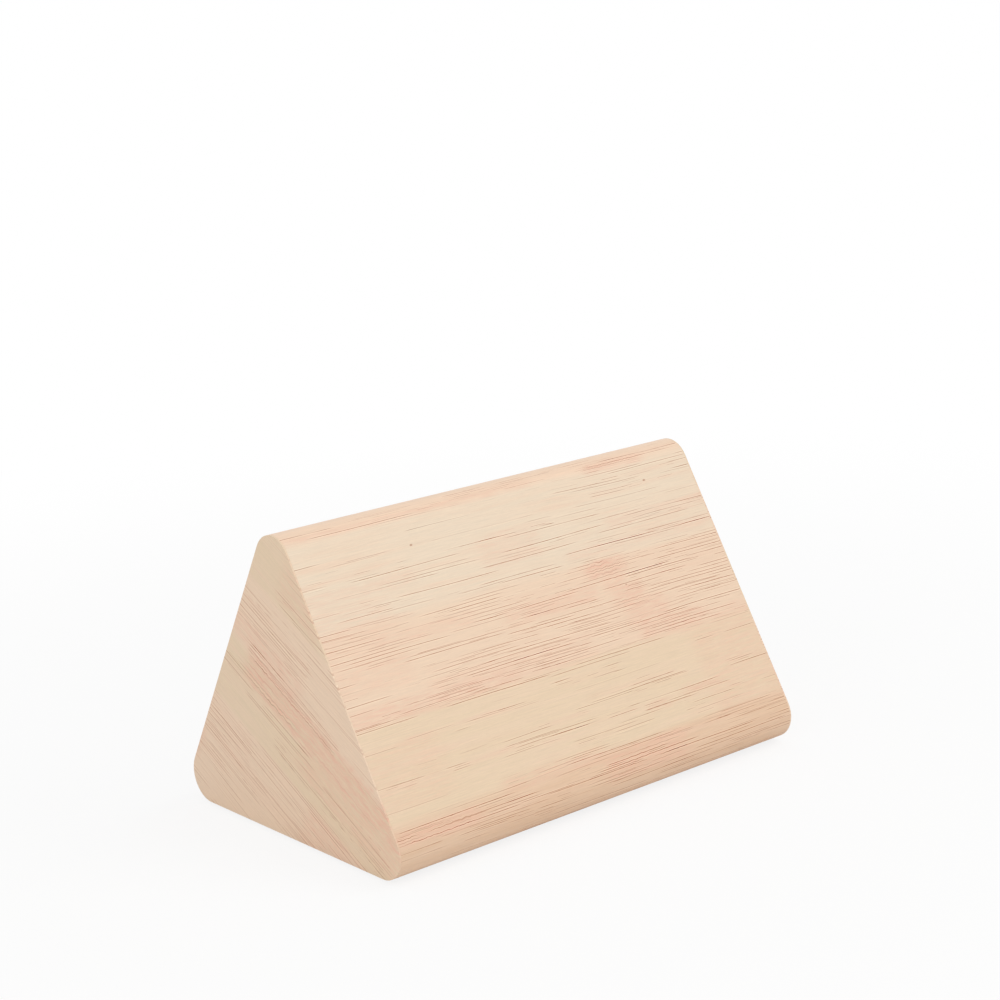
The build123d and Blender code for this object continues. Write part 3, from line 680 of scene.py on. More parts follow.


# The veneer's pattern

# Streak groups on the front slope, laid out: along the bar from and to, height up the
# slope from and to, all in millimetres, and how dense the dashes are.
FRONT_STREAKS = (
    (-75, -15, 85.2, 86.2, 1.0), (-16, 12, 86.0, 88.6, 0.9), (20, 75, 86.5, 89.0, 0.5),
    (37, 56, 84.4, 86.2, 1.0), (8, 19, 79.0, 80.0, 0.9), (20, 75, 79.5, 80.6, 0.8),
    (34, 75, 76.2, 77.6, 0.9), (-9, 13, 72.2, 73.6, 1.0), (-75, -42, 70.9, 72.8, 0.9),
    (-66, -30, 75.4, 76.2, 0.5), (36, 75, 66.6, 69.2, 1.0), (16, 40, 65.0, 66.2, 0.7),
    (-12, 14, 64.2, 66.0, 0.6), (-64, -38, 62.6, 63.6, 0.6), (17, 75, 60.8, 62.2, 1.0),
    (-75, -44, 57.4, 58.6, 1.0), (-62, -26, 60.0, 61.2, 0.6), (-36, 10, 58.0, 60.4, 0.6),
    (15, 36, 52.0, 57.6, 1.0), (36, 75, 46.0, 57.0, 0.9), (-10, 22, 53.0, 54.2, 1.0),
    (-6, 18, 46.8, 51.0, 1.0), (-75, -46, 50.6, 56.4, 0.5), (-46, -16, 50.0, 56.0, 0.4),
    (-26, 2, 51.6, 53.0, 0.7), (-62, -36, 46.0, 47.2, 0.8), (-40, -10, 45.2, 46.4, 0.7),
    (-12, 34, 43.2, 44.6, 1.0), (34, 75, 41.6, 45.8, 0.8), (-45, -4, 40.4, 42.0, 1.0),
    (-30, 12, 39.2, 40.4, 0.9), (10, 52, 38.0, 42.0, 1.0), (-45, 32, 36.8, 38.0, 1.0),
    (-42, 10, 34.8, 36.2, 0.9), (22, 52, 34.2, 37.8, 1.0), (52, 75, 34.0, 40.0, 0.6),
    (-75, 75, 30.6, 32.6, 1.0), (-45, 8, 32.4, 34.0, 1.0), (24, 56, 31.0, 34.0, 1.0),
    (-75, -44, 33.0, 35.6, 0.5), (-74, -14, 24.2, 25.0, 0.8), (-56, -40, 23.4, 24.2, 0.7),
    (-4, 16, 25.4, 27.0, 0.9), (52, 71, 25.8, 27.4, 0.7), (-62, -24, 17.6, 18.6, 0.8),
    (-44, 0, 16.4, 17.4, 0.9), (4, 36, 19.6, 20.8, 0.9), (21, 40, 17.6, 19.0, 1.0),
    (60, 75, 16.8, 17.9, 0.9), (-48, 17, 13.2, 14.4, 1.0), (-75, -63, 13.4, 14.2, 0.8),
    (23, 52, 11.6, 13.4, 0.8), (40, 54, 13.0, 14.0, 1.0), (-6, 22, 8.6, 10.0, 0.9),
    (38, 58, 6.0, 10.4, 0.9), (70, 75, 8.0, 10.0, 0.8), (-34, 0, 4.8, 6.0, 0.9),
    (-6, 75, 2.0, 4.0, 1.0), (4, 30, -4.0, 3.4, 1.0), (-75, -28, -0.8, 0.8, 1.0),
    (-60, 0, -2.6, -1.2, 1.0), (18, 75, -6.5, -1.0, 0.8), (-52, -20, -6.0, -3.6, 0.6),
)
# Pink patches on the front slope, as the streak groups are given.
FRONT_BLUSH = (
    (22, 33, 53.4, 57.4, 0.80), (26, 31, 48.5, 53.0, 0.50), (28, 36, 43.0, 48.5, 0.60),
    (31, 43, 36.0, 43.0, 0.50), (33, 56, 31.6, 36.0, 0.45),
    (-75, -18, 31.2, 35.6, 0.45), (-46, 12, 30.6, 38.0, 0.18), (48, 75, 30.4, 34.0, 0.30),
    (-75, 12, 84.6, 86.0, 0.30), (36, 56, 84.0, 86.4, 0.60), (-75, -40, 66.0, 69.0, 0.28),
    (-62, -26, 50.5, 53.5, 0.28), (-12, 20, 46.6, 51.0, 0.40), (-12, 6, 64.0, 72.0, 0.26),
    (-75, -48, -1.6, 2.0, 0.60), (2, 30, -4.0, 3.4, 0.50), (-60, -54, 22.8, 25.2, 0.35),
    (26, 30, 11.4, 13.0, 0.40), (40, 52, 12.8, 14.4, 0.50), (18, 75, 59.6, 62.4, 0.25),
    (36, 75, 66.0, 69.4, 0.22), (-34, 0, 3.0, 6.4, 0.35),
    (-75, -52, 40.0, 64.0, 0.24), (-75, -52, 8.0, 24.0, 0.22), (50, 75, 4.0, 30.0, 0.28),
)
# The same two, for an end face, along its grain and across it from the middle of the face.
END_STREAKS = (
    (-34, 0, 18.0, 26.0, 0.9), (-20, 20, 8.0, 14.0, 0.9), (-44, 10, -2.0, 4.0, 0.6),
    (0, 50, -8.0, -2.0, 0.8), (-50, -12, -20.0, -14.0, 1.0), (-40, 30, -28.0, -22.0, 0.9),
    (-10, 40, -16.0, -12.0, 0.6), (-46, -20, -34.0, -30.0, 0.8), (-14, 4, 30.0, 44.0, 0.5),
    (16, 60, -18.0, -10.0, 0.6),
)
END_BLUSH = (
    (-20, 60, 2.0, 11.0, 0.75), (-40, 0, 12.0, 18.0, 0.45), (10, 60, -6.0, 3.0, 0.40),
    (-60, -34, -38.0, -28.0, 0.70), (20, 60, -30.0, -12.0, 0.40), (-16, 0, 34.0, 50.0, 0.30),
)
# Pin knots on the front slope: along the bar, up the slope and the knot's size.
KNOTS = ((55.0, 77.9, 0.8), (-35.3, 76.1, 0.7), (32.7, 48.6, 0.5))
# Where two strips of the veneer meet: up the front slope, and across an end from its middle.
JOINT, END_JOINT = 4.3, -56.0
# How far a spot fades, along the grain and across it.
FADE_ALONG, FADE_ACROSS = 4.0, 1.0
# What the tables don't reach of the section, in millimetres round it: the back slope with the
# far half of the base, and the near half of the base.
FAR_SIDES, NEAR_BASE = (92, 238), (-58, -8)


def scattered(seed, count, stretch, strengths):
    """Spots strewn over a stretch of the section."""
    chance = Random(seed)
    spots = []
    for _ in range(count):
        x, y = chance.uniform(-90, 65), chance.uniform(*stretch)
        spots.append((x, x + chance.uniform(12, 55), y, y + chance.uniform(0.6, 2.8),
                      chance.uniform(*strengths)))
    return tuple(spots)


def cover(x, y, spots):
    """How strongly the spots cover a point: full inside each, fading round it."""
    total = 0.0
    for x0, x1, y0, y1, strength in spots:
        dy = max(y0 - y, 0.0, y - y1) / FADE_ACROSS
        if dy < 1.0 and strength > total:
            dx = max(x0 - x, 0.0, x - x1) / FADE_ALONG
            total = max(total, strength * (1.0 - sqrt(dx * dx + dy * dy)))
    return total


def veneer_coordinates(mesh, place, streaks, blush):
    """Writes the grain's UV map and the two pattern strengths, from each vertex's own place."""
    uv = mesh.uv_layers.new(name="Grain")
    spots = [place(vertex.co) for vertex in mesh.vertices]
    for loop in mesh.loops:
        uv.data[loop.index].uv = spots[loop.vertex_index]
    for name, table in (("streaks", streaks), ("blush", blush)):
        layer = mesh.attributes.new(name, "FLOAT", "POINT")
        layer.data.foreach_set("value", [cover(x / MM, y / MM, table) for x, y in spots])


# Finishes


def lighter(tint, gain, lift=0.0):
    """A tint with each of its parts raised, or lowered where the gain is under 1."""
    return tuple(min(1.0, part * gain + lift) for part in tint)


def dashes(finish, u, v, density, pitch, run, thickness, seed):
    """Dark dashes along the grain with a paler flank, one to a cell where the density lets it.
    The cells of each row start at a shift of their own."""
    row_place = v / pitch
    row = row_place.floor()
    shift = finish.node("ShaderNodeTexWhiteNoise", {"noise_dimensions": "1D"},
                        {"W": row * 1.37 + seed})
    column_place = u / run + shift * 17.0
    column = column_place.floor()
    show, offset, weight = finish.split(finish.node(
        "ShaderNodeTexWhiteNoise", values=[(column, row, seed)], output="Color"))
    # How far a point lies from the dash's own line, in its thicknesses, and how well it lies
    # inside the dash's ends, which taper over a tenth of the cell.
    across = abs(row_place - row - 0.5 - (offset - 0.5) * 0.4) * (pitch / thickness)
    ends = (weight * 0.28 + 0.2 - abs(column_place - column - 0.5)).step(0.0, 0.10)
    line = (1.5 - across).step(0.0, 1.2)
    flank = (3.0 - across).step(0.0, 1.2) - line
    return ends * (line - flank * 0.34) * ((density - show) * 5.0).clamped() * (
        weight * 0.65 + 0.35)


def bamboo(name, looks, start, width, tints, seed, knots=(), softness=1.0, strength=1.0):
    """Pale bamboo veneer: strips of tint, fibres, blushes and fine dashes along the grain."""
    finish = Finish(name, Specular_IOR_Level=0.32)
    u, v, _ = finish.split(finish.scaled(
        finish.node("ShaderNodeUVMap", {"uv_map": "Grain"}), 1000.0))

    def fibres(run, height, shift, detail=2.0, roughness=0.5):
        """Noise by its size along the grain and across it, in millimetres."""
        return finish.noise((u / run, v / height, seed + shift), 1.0, detail, roughness)

    # The grain wanders a little, and curls where the wood is pink.
    v = v + (fibres(70.0, 14.0, 0.0, 1.0) - 0.5) * 1.6
    density, blush = finish.attribute("streaks"), finish.attribute("blush")
    v = v + (fibres(1.8, 5.0, 1.0) - 0.5) * (blush - 0.4).clamped() * 4.0
    # The pattern's layers, each a noise of its own size and seed.
    cloud = fibres(40.0, 2.6, 3.0, 3.0, 0.55)
    fibre = fibres(12.0, 0.42, 5.0, 2.0, 0.6)
    hair = fibres(7.0, 0.17, 7.0, 1.0)
    patchy = fibres(24.0, 3.2, 9.0)
    mottle = fibres(6.0, 0.9, 21.0, 3.0, 0.6)
    grit = fibres(1.6, 0.30, 23.0)

    # The strips' tints in their order. A tint's fourth part says how busy its strip is.
    strip = (v - start) / (width * len(tints))
    base, busy = finish.ramp(strip - strip.floor(), [
        ((index + edge) / len(tints), tint) for index, tint in enumerate(tints)
        for edge in (0.05, 0.95)])
    base = finish.mix(((cloud - 0.5) * 1.8 + 0.16).clamped(), base, looks.rose)
    for factor in (((cloud - 0.60) * 3.0).clamped() * 0.32,
                   (blush * (mottle * 4.0 - 1.2) * (fibre * 1.6 + 0.1)).clamped() * 0.8):
        base = finish.mix(factor, base, looks.blush)
    base = finish.scaled(base, 1.01 + (fibre - 0.5) * 0.17 + (hair - 0.5) * 0.10
                         + (grit - 0.5) * 0.09)

    crowd = (density * (patchy * 0.6 + 0.45) + busy * (patchy * 1.6 - 0.2)).clamped()
    # Long, shorter and short dashes: how far they lie over the grain's rows, their share of the
    # density, the rows' pitch, the dashes' length and thickness, and the seed.
    marks = sum(dashes(finish, u, v + lift, crowd * part, pitch, run, thickness * softness,
                       seed + shift)
                for lift, part, pitch, run, thickness, shift in (
                    (0.0, 1.0, 0.93, 46.0, 0.13, 11.0), (0.4, 0.65, 1.31, 26.0, 0.105, 13.0),
                    (0.2, 0.4, 0.73, 8.0, 0.08, 17.0))) * (grit * 1.35 + 0.47)
    # Each knot is a dark dot, drawn out along the grain.
    for x, y, size in knots:
        reach = finish.far(((u - x) / size, (v - y) / (size * 0.6)))
        marks = marks + (1.0 - reach).step(0.0, 0.8)
    base = finish.mix((density * (cloud + 0.1) - 0.2).clamped() * 0.22, base, looks.blush)
    base = finish.mix(marks * strength, base, looks.streak, blend_type="MULTIPLY",
                      clamp_factor=False)
    return finish.done(base, marks * 0.10 + (fibre - 0.5) * 0.08 + looks.roughness,
                       fibre * 0.5 + hair * 0.3 - marks * 0.8, 0.03 * MM, 0.5)


def fibre_board(looks):
    """Raw fibre board: fine felted fibres and darker flecks."""
    finish = Finish("core_board")
    felt = finish.noise(finish.place(), 2.2, 4.0, 0.65)
    fleck = finish.noise(finish.place(), 9.0)
    base = finish.mix((felt * 1.3 - 0.15).clamped(), lighter(looks.core, 0.75),
                      lighter(looks.core, 1.25))
    base = finish.mix((fleck - 0.55).clamped() * 0.9, base, looks.fleck)
    return finish.done(base, 0.85, felt + fleck * 0.5, 0.08 * MM, 0.6)


def moulded(name, tint, grain, roughness=0.52, depth=0.02 * MM):
    """Moulded plastic: an eroded texture, faint flow marks and slightly varied gloss."""
    finish = Finish(name)
    spark = finish.noise(finish.place(), MM / grain, 3.0, 0.6)
    flow = finish.noise(finish.place(), 0.05, 3.0)
    base = finish.scaled(finish.node("ShaderNodeCombineXYZ", values=tint),
                         (flow - 0.5) * 0.22 + (spark - 0.5) * 0.18 + 1.0)
    return finish.done(base, (spark - 0.5) * 0.3 + (flow - 0.5) * 0.12 + roughness, spark,
                       depth, 0.8)


def rubbed_metal(name, tint, roughness, scratch=0.08):
    """Plated or drawn metal: fine rubbing along one way and cloudy plating."""
    finish = Finish(name, Metallic=1.0)
    rub = finish.noise(finish.node("ShaderNodeVectorMath", {"operation": "MULTIPLY"},
                                   [finish.place(), (0.06, 6.0, 6.0)]), 1.0, 3.0)
    cloud = finish.noise(finish.place(), 0.35, 3.0)
    base = finish.mix(((cloud - 0.4) * 1.6 + (rub - 0.5)).clamped(), lighter(tint, 0.72), tint)
    return finish.done(base, (rub - 0.5) * scratch * 4 + (cloud - 0.5) * 0.15 + roughness, rub,
                       0.01 * MM, 0.5)


# Between the tracks of the circuit boards, in millimetres.
TRACK_PITCH = 1.27


def solder_mask(name, tint, copper, seed):
    """Circuit board: a glossy mask with the raised copper of its tracks under it."""
    finish = Finish(name)
    x, _, z = finish.split(finish.place())
    # Along the board and up its slope. Some blocks of tracks run straight and others slant.
    along, up = x + seed, z / COS
    bend = finish.noise(((along / 9.0).floor(), (up / 11.0).floor(), seed), 1.0, 0.0)
    lane = (along + up * (bend - 0.5).step(-0.05, 0.05)) / TRACK_PITCH
    area = finish.noise((along / 8.0, up / 8.0, seed + 2.0), 1.0, 0.0) - 0.5
    track = (0.22 - abs(lane - lane.floor() - 0.5)).step(0.0, 0.04) * area.step(-0.02, 0.02)
    weave = finish.noise((along, up), 3.0, 1.0)
    base = finish.mix((weave - 0.5).clamped() * 0.4, finish.mix(track, tint, copper),
                      lighter(tint, 0.6))
    return finish.done(base, weave * 0.12 + 0.22, track + weave * 0.1, 0.03 * MM, 0.7)


def film(name, tint, cloud, paler, gloss, depth, strength, **constants):
    """A smooth film of one tint with cloudy rub marks, paler and duller than the rest."""
    finish = Finish(name, **constants)
    rub = finish.noise(finish.place(), *cloud)
    start, part, gain, lift = paler
    base = finish.mix((rub - start).clamped() * part, tint, lighter(tint, gain, lift))
    return finish.done(base, rub * gloss[0] + gloss[1], rub, depth, strength)


def cell_sleeve(name, tint):
    """A cell's printed shrink sleeve, with a thin clear coat."""
    return film(name, tint, cloud=(1.4, 4.0, 0.6), paler=(0.5, 0.7, 1.8, 0.02), gloss=(0.2, 0.24),
                depth=0.01 * MM, strength=0.5, Coat_Weight=0.3, Coat_Roughness=0.12)


def insulated(name, tint):
    """Soft wire insulation."""
    return film(name, tint, cloud=(0.8, 3.0), paler=(0.45, 0.5, 1.4, 0.03), gloss=(0.3, 0.35),
                depth=0.02 * MM, strength=0.4)


def milky(name, tint):
    """Diffusing plastic: white, slightly uneven and soft."""
    finish = Finish(name, Subsurface_Weight=0.15, Subsurface_Scale=2 * MM)
    cloud, fine = finish.noise(finish.place(), 0.4, 3.0), finish.noise(finish.place(), 5.0)
    return finish.done(finish.mix(cloud, lighter(tint, 0.93), tint), fine * 0.2 + 0.4, fine,
                       0.01 * MM, 0.6)


# Operators: one for each group of pieces


class BuildCase(bpy.types.Operator):
    """Wrap the bar in veneer, face its ends and put the pads under it"""

    bl_idname = "desk_clock.case"
    bl_label = "Case"
    bl_options = {"REGISTER", "UNDO"}

    def execute(self, context):
        looks = context.scene.desk_clock_veneer
        # Each kind of strip: its tint, and how many dashes it has outside the streak groups.
        tan, honey, rose = (*looks.tan, 0.55), (*looks.honey, 0.20), (*looks.rose, 0.60)
        cream, peach = (*looks.cream, 0.32), (*looks.peach, 0.40)
        width = looks.strip_width / MM
        self.wrap(looks, bamboo("bamboo_veneer", looks, start=JOINT - width, width=width,
                                tints=(tan, honey, rose, cream, peach), seed=0.0, knots=KNOTS))
        ends = bamboo("end_veneer", looks, start=END_JOINT, width=looks.end_strip / MM,
                      tints=(rose, rose, honey, rose, honey), seed=40.0, softness=1.9,
                      strength=0.42)
        for side, name in ((-1, "left"), (1, "right")):
            self.end_face(looks, side, name, ends)
        pads = moulded("foot_rubber", context.scene.desk_clock_moulding.pad, grain=0.6 * MM,
                       roughness=0.78)
        belongs(softened("feet", "pads", pads, width=0.18 * MM), ROOT, "foot_rubber", "feet")
        dress(fibre_board(context.scene.desk_clock_boards), "front_board", "back_board",
              "base_board", "end_board_left", "end_board_right")
        return {"FINISHED"}

    def wrap(self, looks, material):
        """The sheet folded round the bar, with the back plate's opening cut through it."""
        low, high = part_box("veneer_wrap")
        first, last = SEAM + looks.seam_gap / 2, SEAM + 3 * TURN - looks.seam_gap / 2
        between = stations(count=82, arc_count=14)
        rows = [first, *(t for t in between if first < t < last), last]
        columns = round((high.x - low.x) / RULING)
        across = columns + 1
        mesh = bpy.data.meshes.new("case_wrap")
        mesh.from_pydata(
            [(low.x + (high.x - low.x) * i / columns, *section_point(t))
             for t in rows for i in range(across)], [],
            [(start, start + 1, start + across + 1, start + across)
             for row in range(len(rows) - 1)
             for start in range(row * across, row * across + columns)])
        made = self.thickened(new_object("case_wrap", mesh, material), looks)
        cutter = self.cutter(looks)
        cut = made.modifiers.new("Cut", "BOOLEAN")
        cut.object, cut.operation, cut.solver = cutter, "DIFFERENCE", "EXACT"
        settled(made)
        bpy.data.meshes.remove(cutter.data)
        busy, faint = (0.5, 1.0), (0.2, 0.5)
        veneer_coordinates(made.data, lambda p: (p.x, section_distance(p.y, p.z)),
                           FRONT_STREAKS + scattered(3, 80, FAR_SIDES, busy)
                           + scattered(4, 26, NEAR_BASE, busy),
                           FRONT_BLUSH + scattered(5, 26, FAR_SIDES, faint)
                           + scattered(6, 8, NEAR_BASE, faint))
        belongs(shade(made, sharp=40.0), ROOT, "bamboo_veneer", "veneer_wrap")

    def thickened(self, made, looks):
        """A sheet with its thickness added behind its face."""
        sheet = made.modifiers.new("Sheet", "SOLIDIFY")
        sheet.thickness, sheet.offset = looks.thickness, -1.0
        return made

    def cutter(self, looks):
        """A rounded block that stands where the back plate goes."""
        high = solids_of("back_plate", "back")[0][1]
        corner, depth, steps = looks.plate_corner + looks.plate_gap, 3 * MM, 8
        x, y = (reach + looks.plate_gap - corner for reach in high.xy)
        outline = [(sx * x + corner * cos(turn), sy * y + corner * sin(turn))
                   for index, (sx, sy) in enumerate(((1, 1), (-1, 1), (-1, -1), (1, -1)))
                   for turn in ((index + step / steps) * pi / 2 for step in range(steps + 1))]
        return flat_shape("cutter", outline, at("back", 0, 0, -depth), 2 * depth)

    def end_face(self, looks, side, name, material):
        """A flat sheet of veneer on one end, ruled in squares so that its pattern can vary. The
        lines are counted from the section's middle and reach all three corners."""
        low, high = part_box("end_veneer_" + name)
        outer = high.x if side > 0 else low.x
        shell = bmesh.new()
        face = shell.faces.new([shell.verts.new((outer, *section_point(t)))
                                for t in stations(count=2, arc_count=12)
                                if 0 <= t < 3 * TURN])
        face.normal_update()
        if face.normal.x * side < 0:
            face.normal_flip()
        lines = int(CASE_SIDE / 2 / RULING)
        for index in range(-lines, lines + 1):
            for axis in (1, 2):
                normal, spot = Vector(), Vector((outer, 0, MIDDLE))
                normal[axis] = 1.0
                spot[axis] += index * RULING
                bmesh.ops.bisect_plane(shell, geom=shell.verts[:] + shell.edges[:]
                                       + shell.faces[:], dist=1e-7, plane_co=spot,
                                       plane_no=normal)
        made = self.thickened(from_shell("end_face_" + name, shell, material), looks)
        ease = made.modifiers.new("Ease", "BEVEL")
        ease.width, ease.segments, ease.angle_limit = looks.edge_ease, 3, radians(60)
        settled(made)
        turn = Matrix.Rotation(looks.grain_slant, 2)
        veneer_coordinates(made.data, lambda p: turn @ Vector((side * p.y, p.z - MIDDLE)),
                           END_STREAKS, END_BLUSH)
        belongs(shade(made, sharp=30.0), ROOT, "end_veneer", "end_veneer_" + name)


class BuildBack(bpy.types.Operator):
    """Round the moulded back plate's edges and print the marks beside its buttons"""

    bl_idname = "desk_clock.back"
    bl_label = "Back plate"
    bl_options = {"REGISTER", "UNDO"}

    def execute(self, context):
        looks = context.scene.desk_clock_moulding
        plastic = moulded("back_moulding", looks.plate, looks.texture_size)
        belongs(softened("back_plate", "back_shell", plastic, looks.edge_round), ROOT,
                "back_moulding", "back_plate")
        ink = moulded("mark_print", looks.mark, grain=0.2 * MM, roughness=0.6)
        marks, half = [], looks.mark_size * 0.42
        # The first mark is a word, and the other two point up and down.
        for name, tip in zip(BUTTONS, (None, 1, -1)):
            low, high = solids_of("button_" + name, "back")[0]
            middle, radius = (low + high) / 2, (high.x - low.x) / 2
            place = at("back", middle.x, middle.y + radius + looks.mark_gap)
            if tip:
                marks.append(flat_shape("mark_" + name, [
                    (-half, -half * tip), (half, -half * tip), (0, half * tip)], place,
                    looks.mark_thickness, ink))
            else:
                marks.append(lettering("mark_" + name, "SET", looks.mark_size,
                                       looks.mark_thickness, place, ink))
        belongs(joined("button_marks", *marks), ROOT)
        return {"FINISHED"}


class BuildDoor(bpy.types.Operator):
    """Round the battery door's edges and mould its opening arrow"""

    bl_idname = "desk_clock.door"
    bl_label = "Battery door"
    bl_options = {"REGISTER", "UNDO"}

    def execute(self, context):
        looks = context.scene.desk_clock_moulding
        plastic = moulded("door_moulding", looks.plate, looks.texture_size)
        belongs(softened("battery_door", "door_shell", plastic, looks.edge_round),
                "battery_door", "door_moulding", "battery_door")
        low, high = solids_of("battery_door", "back")[0]
        half = looks.arrow_size
        arrow = [(x * half, y * half) for x, y in (
            (-0.55, 1), (0, 0.25), (0.55, 1), (1, 1), (0, -0.6), (-1, 1))]
        place = at("back", (low.x + high.x) / 2, high.y - looks.arrow_inset)
        belongs(flat_shape("door_arrow", arrow, place, looks.arrow_height, plastic),
                "battery_door", "door_moulding")
        return {"FINISHED"}


class BuildButtons(bpy.types.Operator):
    """Turn the dished button caps and dress the switches behind them"""

    bl_idname = "desk_clock.buttons"
    bl_label = "Buttons"
    bl_options = {"REGISTER", "UNDO"}

    def execute(self, context):
        looks = context.scene.desk_clock_moulding
        plastic = moulded("button_cap", looks.cap, grain=0.3 * MM, roughness=0.34,
                          depth=0.008 * MM)
        for name in BUTTONS:
            node = "button_" + name
            low, high = solids_of(node, "back")[0]
            middle, top, foot = (low + high) / 2, high.z, low.z + looks.cap_foot
            dish = looks.cap_radius * 0.72
            profile = [(dish * out, top - looks.cap_dish * (1 - out ** 2))
                       for out in (0.0, 0.25, 0.5, 0.75, 1.0)]
            profile += rounding(looks.cap_radius, top, looks.cap_round)
            profile += [(looks.cap_radius, foot), (0.0, foot)]
            body = frame["nodes"][node]["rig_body"]
            belongs(turned("cap_" + name, profile, at("back", middle.x, middle.y),
                           [0] * len(profile), [plastic]), body, "button_cap", node)
            flange = softened(node, "flange_" + name, plastic, width=0.1 * MM)
            belongs(self.below(flange, -looks.flange_depth), body, "button_cap")
        dress(moulded("switch_case", looks.switch, grain=0.4 * MM, roughness=0.45),
              "switch_bodies")
        dress(moulded("switch_plunger", looks.plunger, grain=0.4 * MM, roughness=0.4),
              *("switch_plunger_" + name for name in BUTTONS))
        return {"FINISHED"}

    def below(self, made, height):
        """The part of a piece under a height in the back face's frame, closed again."""
        shell = bmesh.new()
        shell.from_mesh(made.data)
        cut = bmesh.ops.bisect_plane(
            shell, geom=shell.verts[:] + shell.edges[:] + shell.faces[:], clear_outer=True,
            plane_co=at("back", 0, 0, height).translation, plane_no=way("back", 0, 0, 1))
        edges = [e for e in cut["geom_cut"] if isinstance(e, bmesh.types.BMEdge)]
        bmesh.ops.edgeloop_fill(shell, edges=edges)
        shell.to_mesh(made.data)
        shell.free()
        return made


class BuildSocket(bpy.types.Operator):
    """Shape the power socket's mouth and its centre pin"""

    bl_idname = "desk_clock.socket"
    bl_label = "Power socket"
    bl_options = {"REGISTER", "UNDO"}

    def execute(self, context):
        plastic = moulded("socket_part", context.scene.desk_clock_boards.part, grain=0.4 * MM,
                          roughness=0.4)
        belongs(softened("power_jack", "socket_shell", plastic, width=0.22 * MM, segments=3),
                ROOT, "black_part", "power_jack")
        brass = rubbed_metal("jack_brass", context.scene.desk_clock_metal.brass, 0.25)
        low, high = solids_of("jack_pin", "back")[0]
        middle, radius = (low + high) / 2, (high.x - low.x) / 2
        profile = [(0.0, high.z), *rounding(radius, high.z, radius, 1), (radius, low.z),
                   (0.0, low.z)]
        belongs(turned("socket_pin", profile, at("back", middle.x, middle.y),
                       [0] * len(profile), [brass], segments=32), ROOT, "jack_brass",
                "jack_pin")
        return {"FINISHED"}


class BuildScrews(bpy.types.Operator):
    """Grow the cross-head screws of the plate and both boards"""

    bl_idname = "desk_clock.screws"
    bl_label = "Screws"
    bl_options = {"REGISTER", "UNDO"}

    def execute(self, context):
        looks = context.scene.desk_clock_metal
        steel = rubbed_metal("screw_steel", looks.steel, 0.36)
        flat = self.screw("Flat Head Screw", self.cone, sides=32, width=0.5, top=0.55, less=0.05)
        pan = self.screw("Pan Head Screw", self.dome, sides=24, width=0.45, top=0.62, less=0.0)
        for node, face, tree in (("plate_screws", "back", flat), ("pcb_screws", "back", pan),
                                 ("display_screws", "front", pan)):
            # The boards' screws face into the case, and the plate's face out of it. A head's
            # top is its solid's end on that side.
            facing, seat = (-1, 0) if tree is pan else (1, 1)
            spots = solids_of(node, face)
            low, high = spots[-1]
            radius = (high.x - low.x) / 2
            places = [at(face, *((spot[0] + spot[1]) / 2).xy, spot[seat].z).translation
                      for spot in spots]
            made = grown(tree, node.replace("_", "_set_"), places,
                         [way(face, 0, 0, facing)] * len(places), steel, Head_Radius=radius,
                         Length=high.z - low.z, Recess=looks.recess * radius)
            belongs(shade(made, sharp=30.0), ROOT, "screw_steel", node)
        return {"FINISHED"}

    def screw(self, name, head, sides, width, top, less):
        """A head with a cross cut in it, its top on the place, over a plain shank. The shank's
        radius, how deep it starts and how far it stops short are shares of the head's radius."""
        build = Growth(name, "Head Radius", "Length", "Recess")
        radius, reach, recess = build.given("Head Radius", "Length", "Recess")
        slot = recess * 0.42
        bars = [build.block(x, y, recess * 1.4, recess * -0.75)
                for x, y in ((recess * 2.0, slot), (slot, recess * 2.0))]
        shank = build.node("GeometryNodeMeshCylinder", values={
            "Vertices": sides, "Radius": radius * width, "Depth": reach - radius * (top + less)})
        shank = build.raised(shank, (reach + radius * (top - less)) * -0.5)
        return build.grow(build.without(head(build, radius), *bars), shank)

    def cone(self, build, radius):
        """Countersunk head."""
        depth = 0.54
        cone = build.node("GeometryNodeMeshCone", values={
            "Vertices": 48, "Radius Top": radius, "Radius Bottom": radius * 0.5,
            "Depth": radius * depth})
        return build.raised(cone, radius * -depth)

    def dome(self, build, radius):
        """Domed head: the upper half of a flattened ball."""
        height = 0.62
        ball = build.node("GeometryNodeMeshUVSphere", values={
            "Segments": 40, "Rings": 20, "Radius": radius})
        ball = build.node("GeometryNodeTransform", values={
            "Geometry": ball, "Scale": (1.0, 1.0, height)})
        under = build.block(radius * 3.0, radius * 3.0, radius * 2.0, radius * -2.0)
        return build.raised(build.without(ball, under), radius * -height)


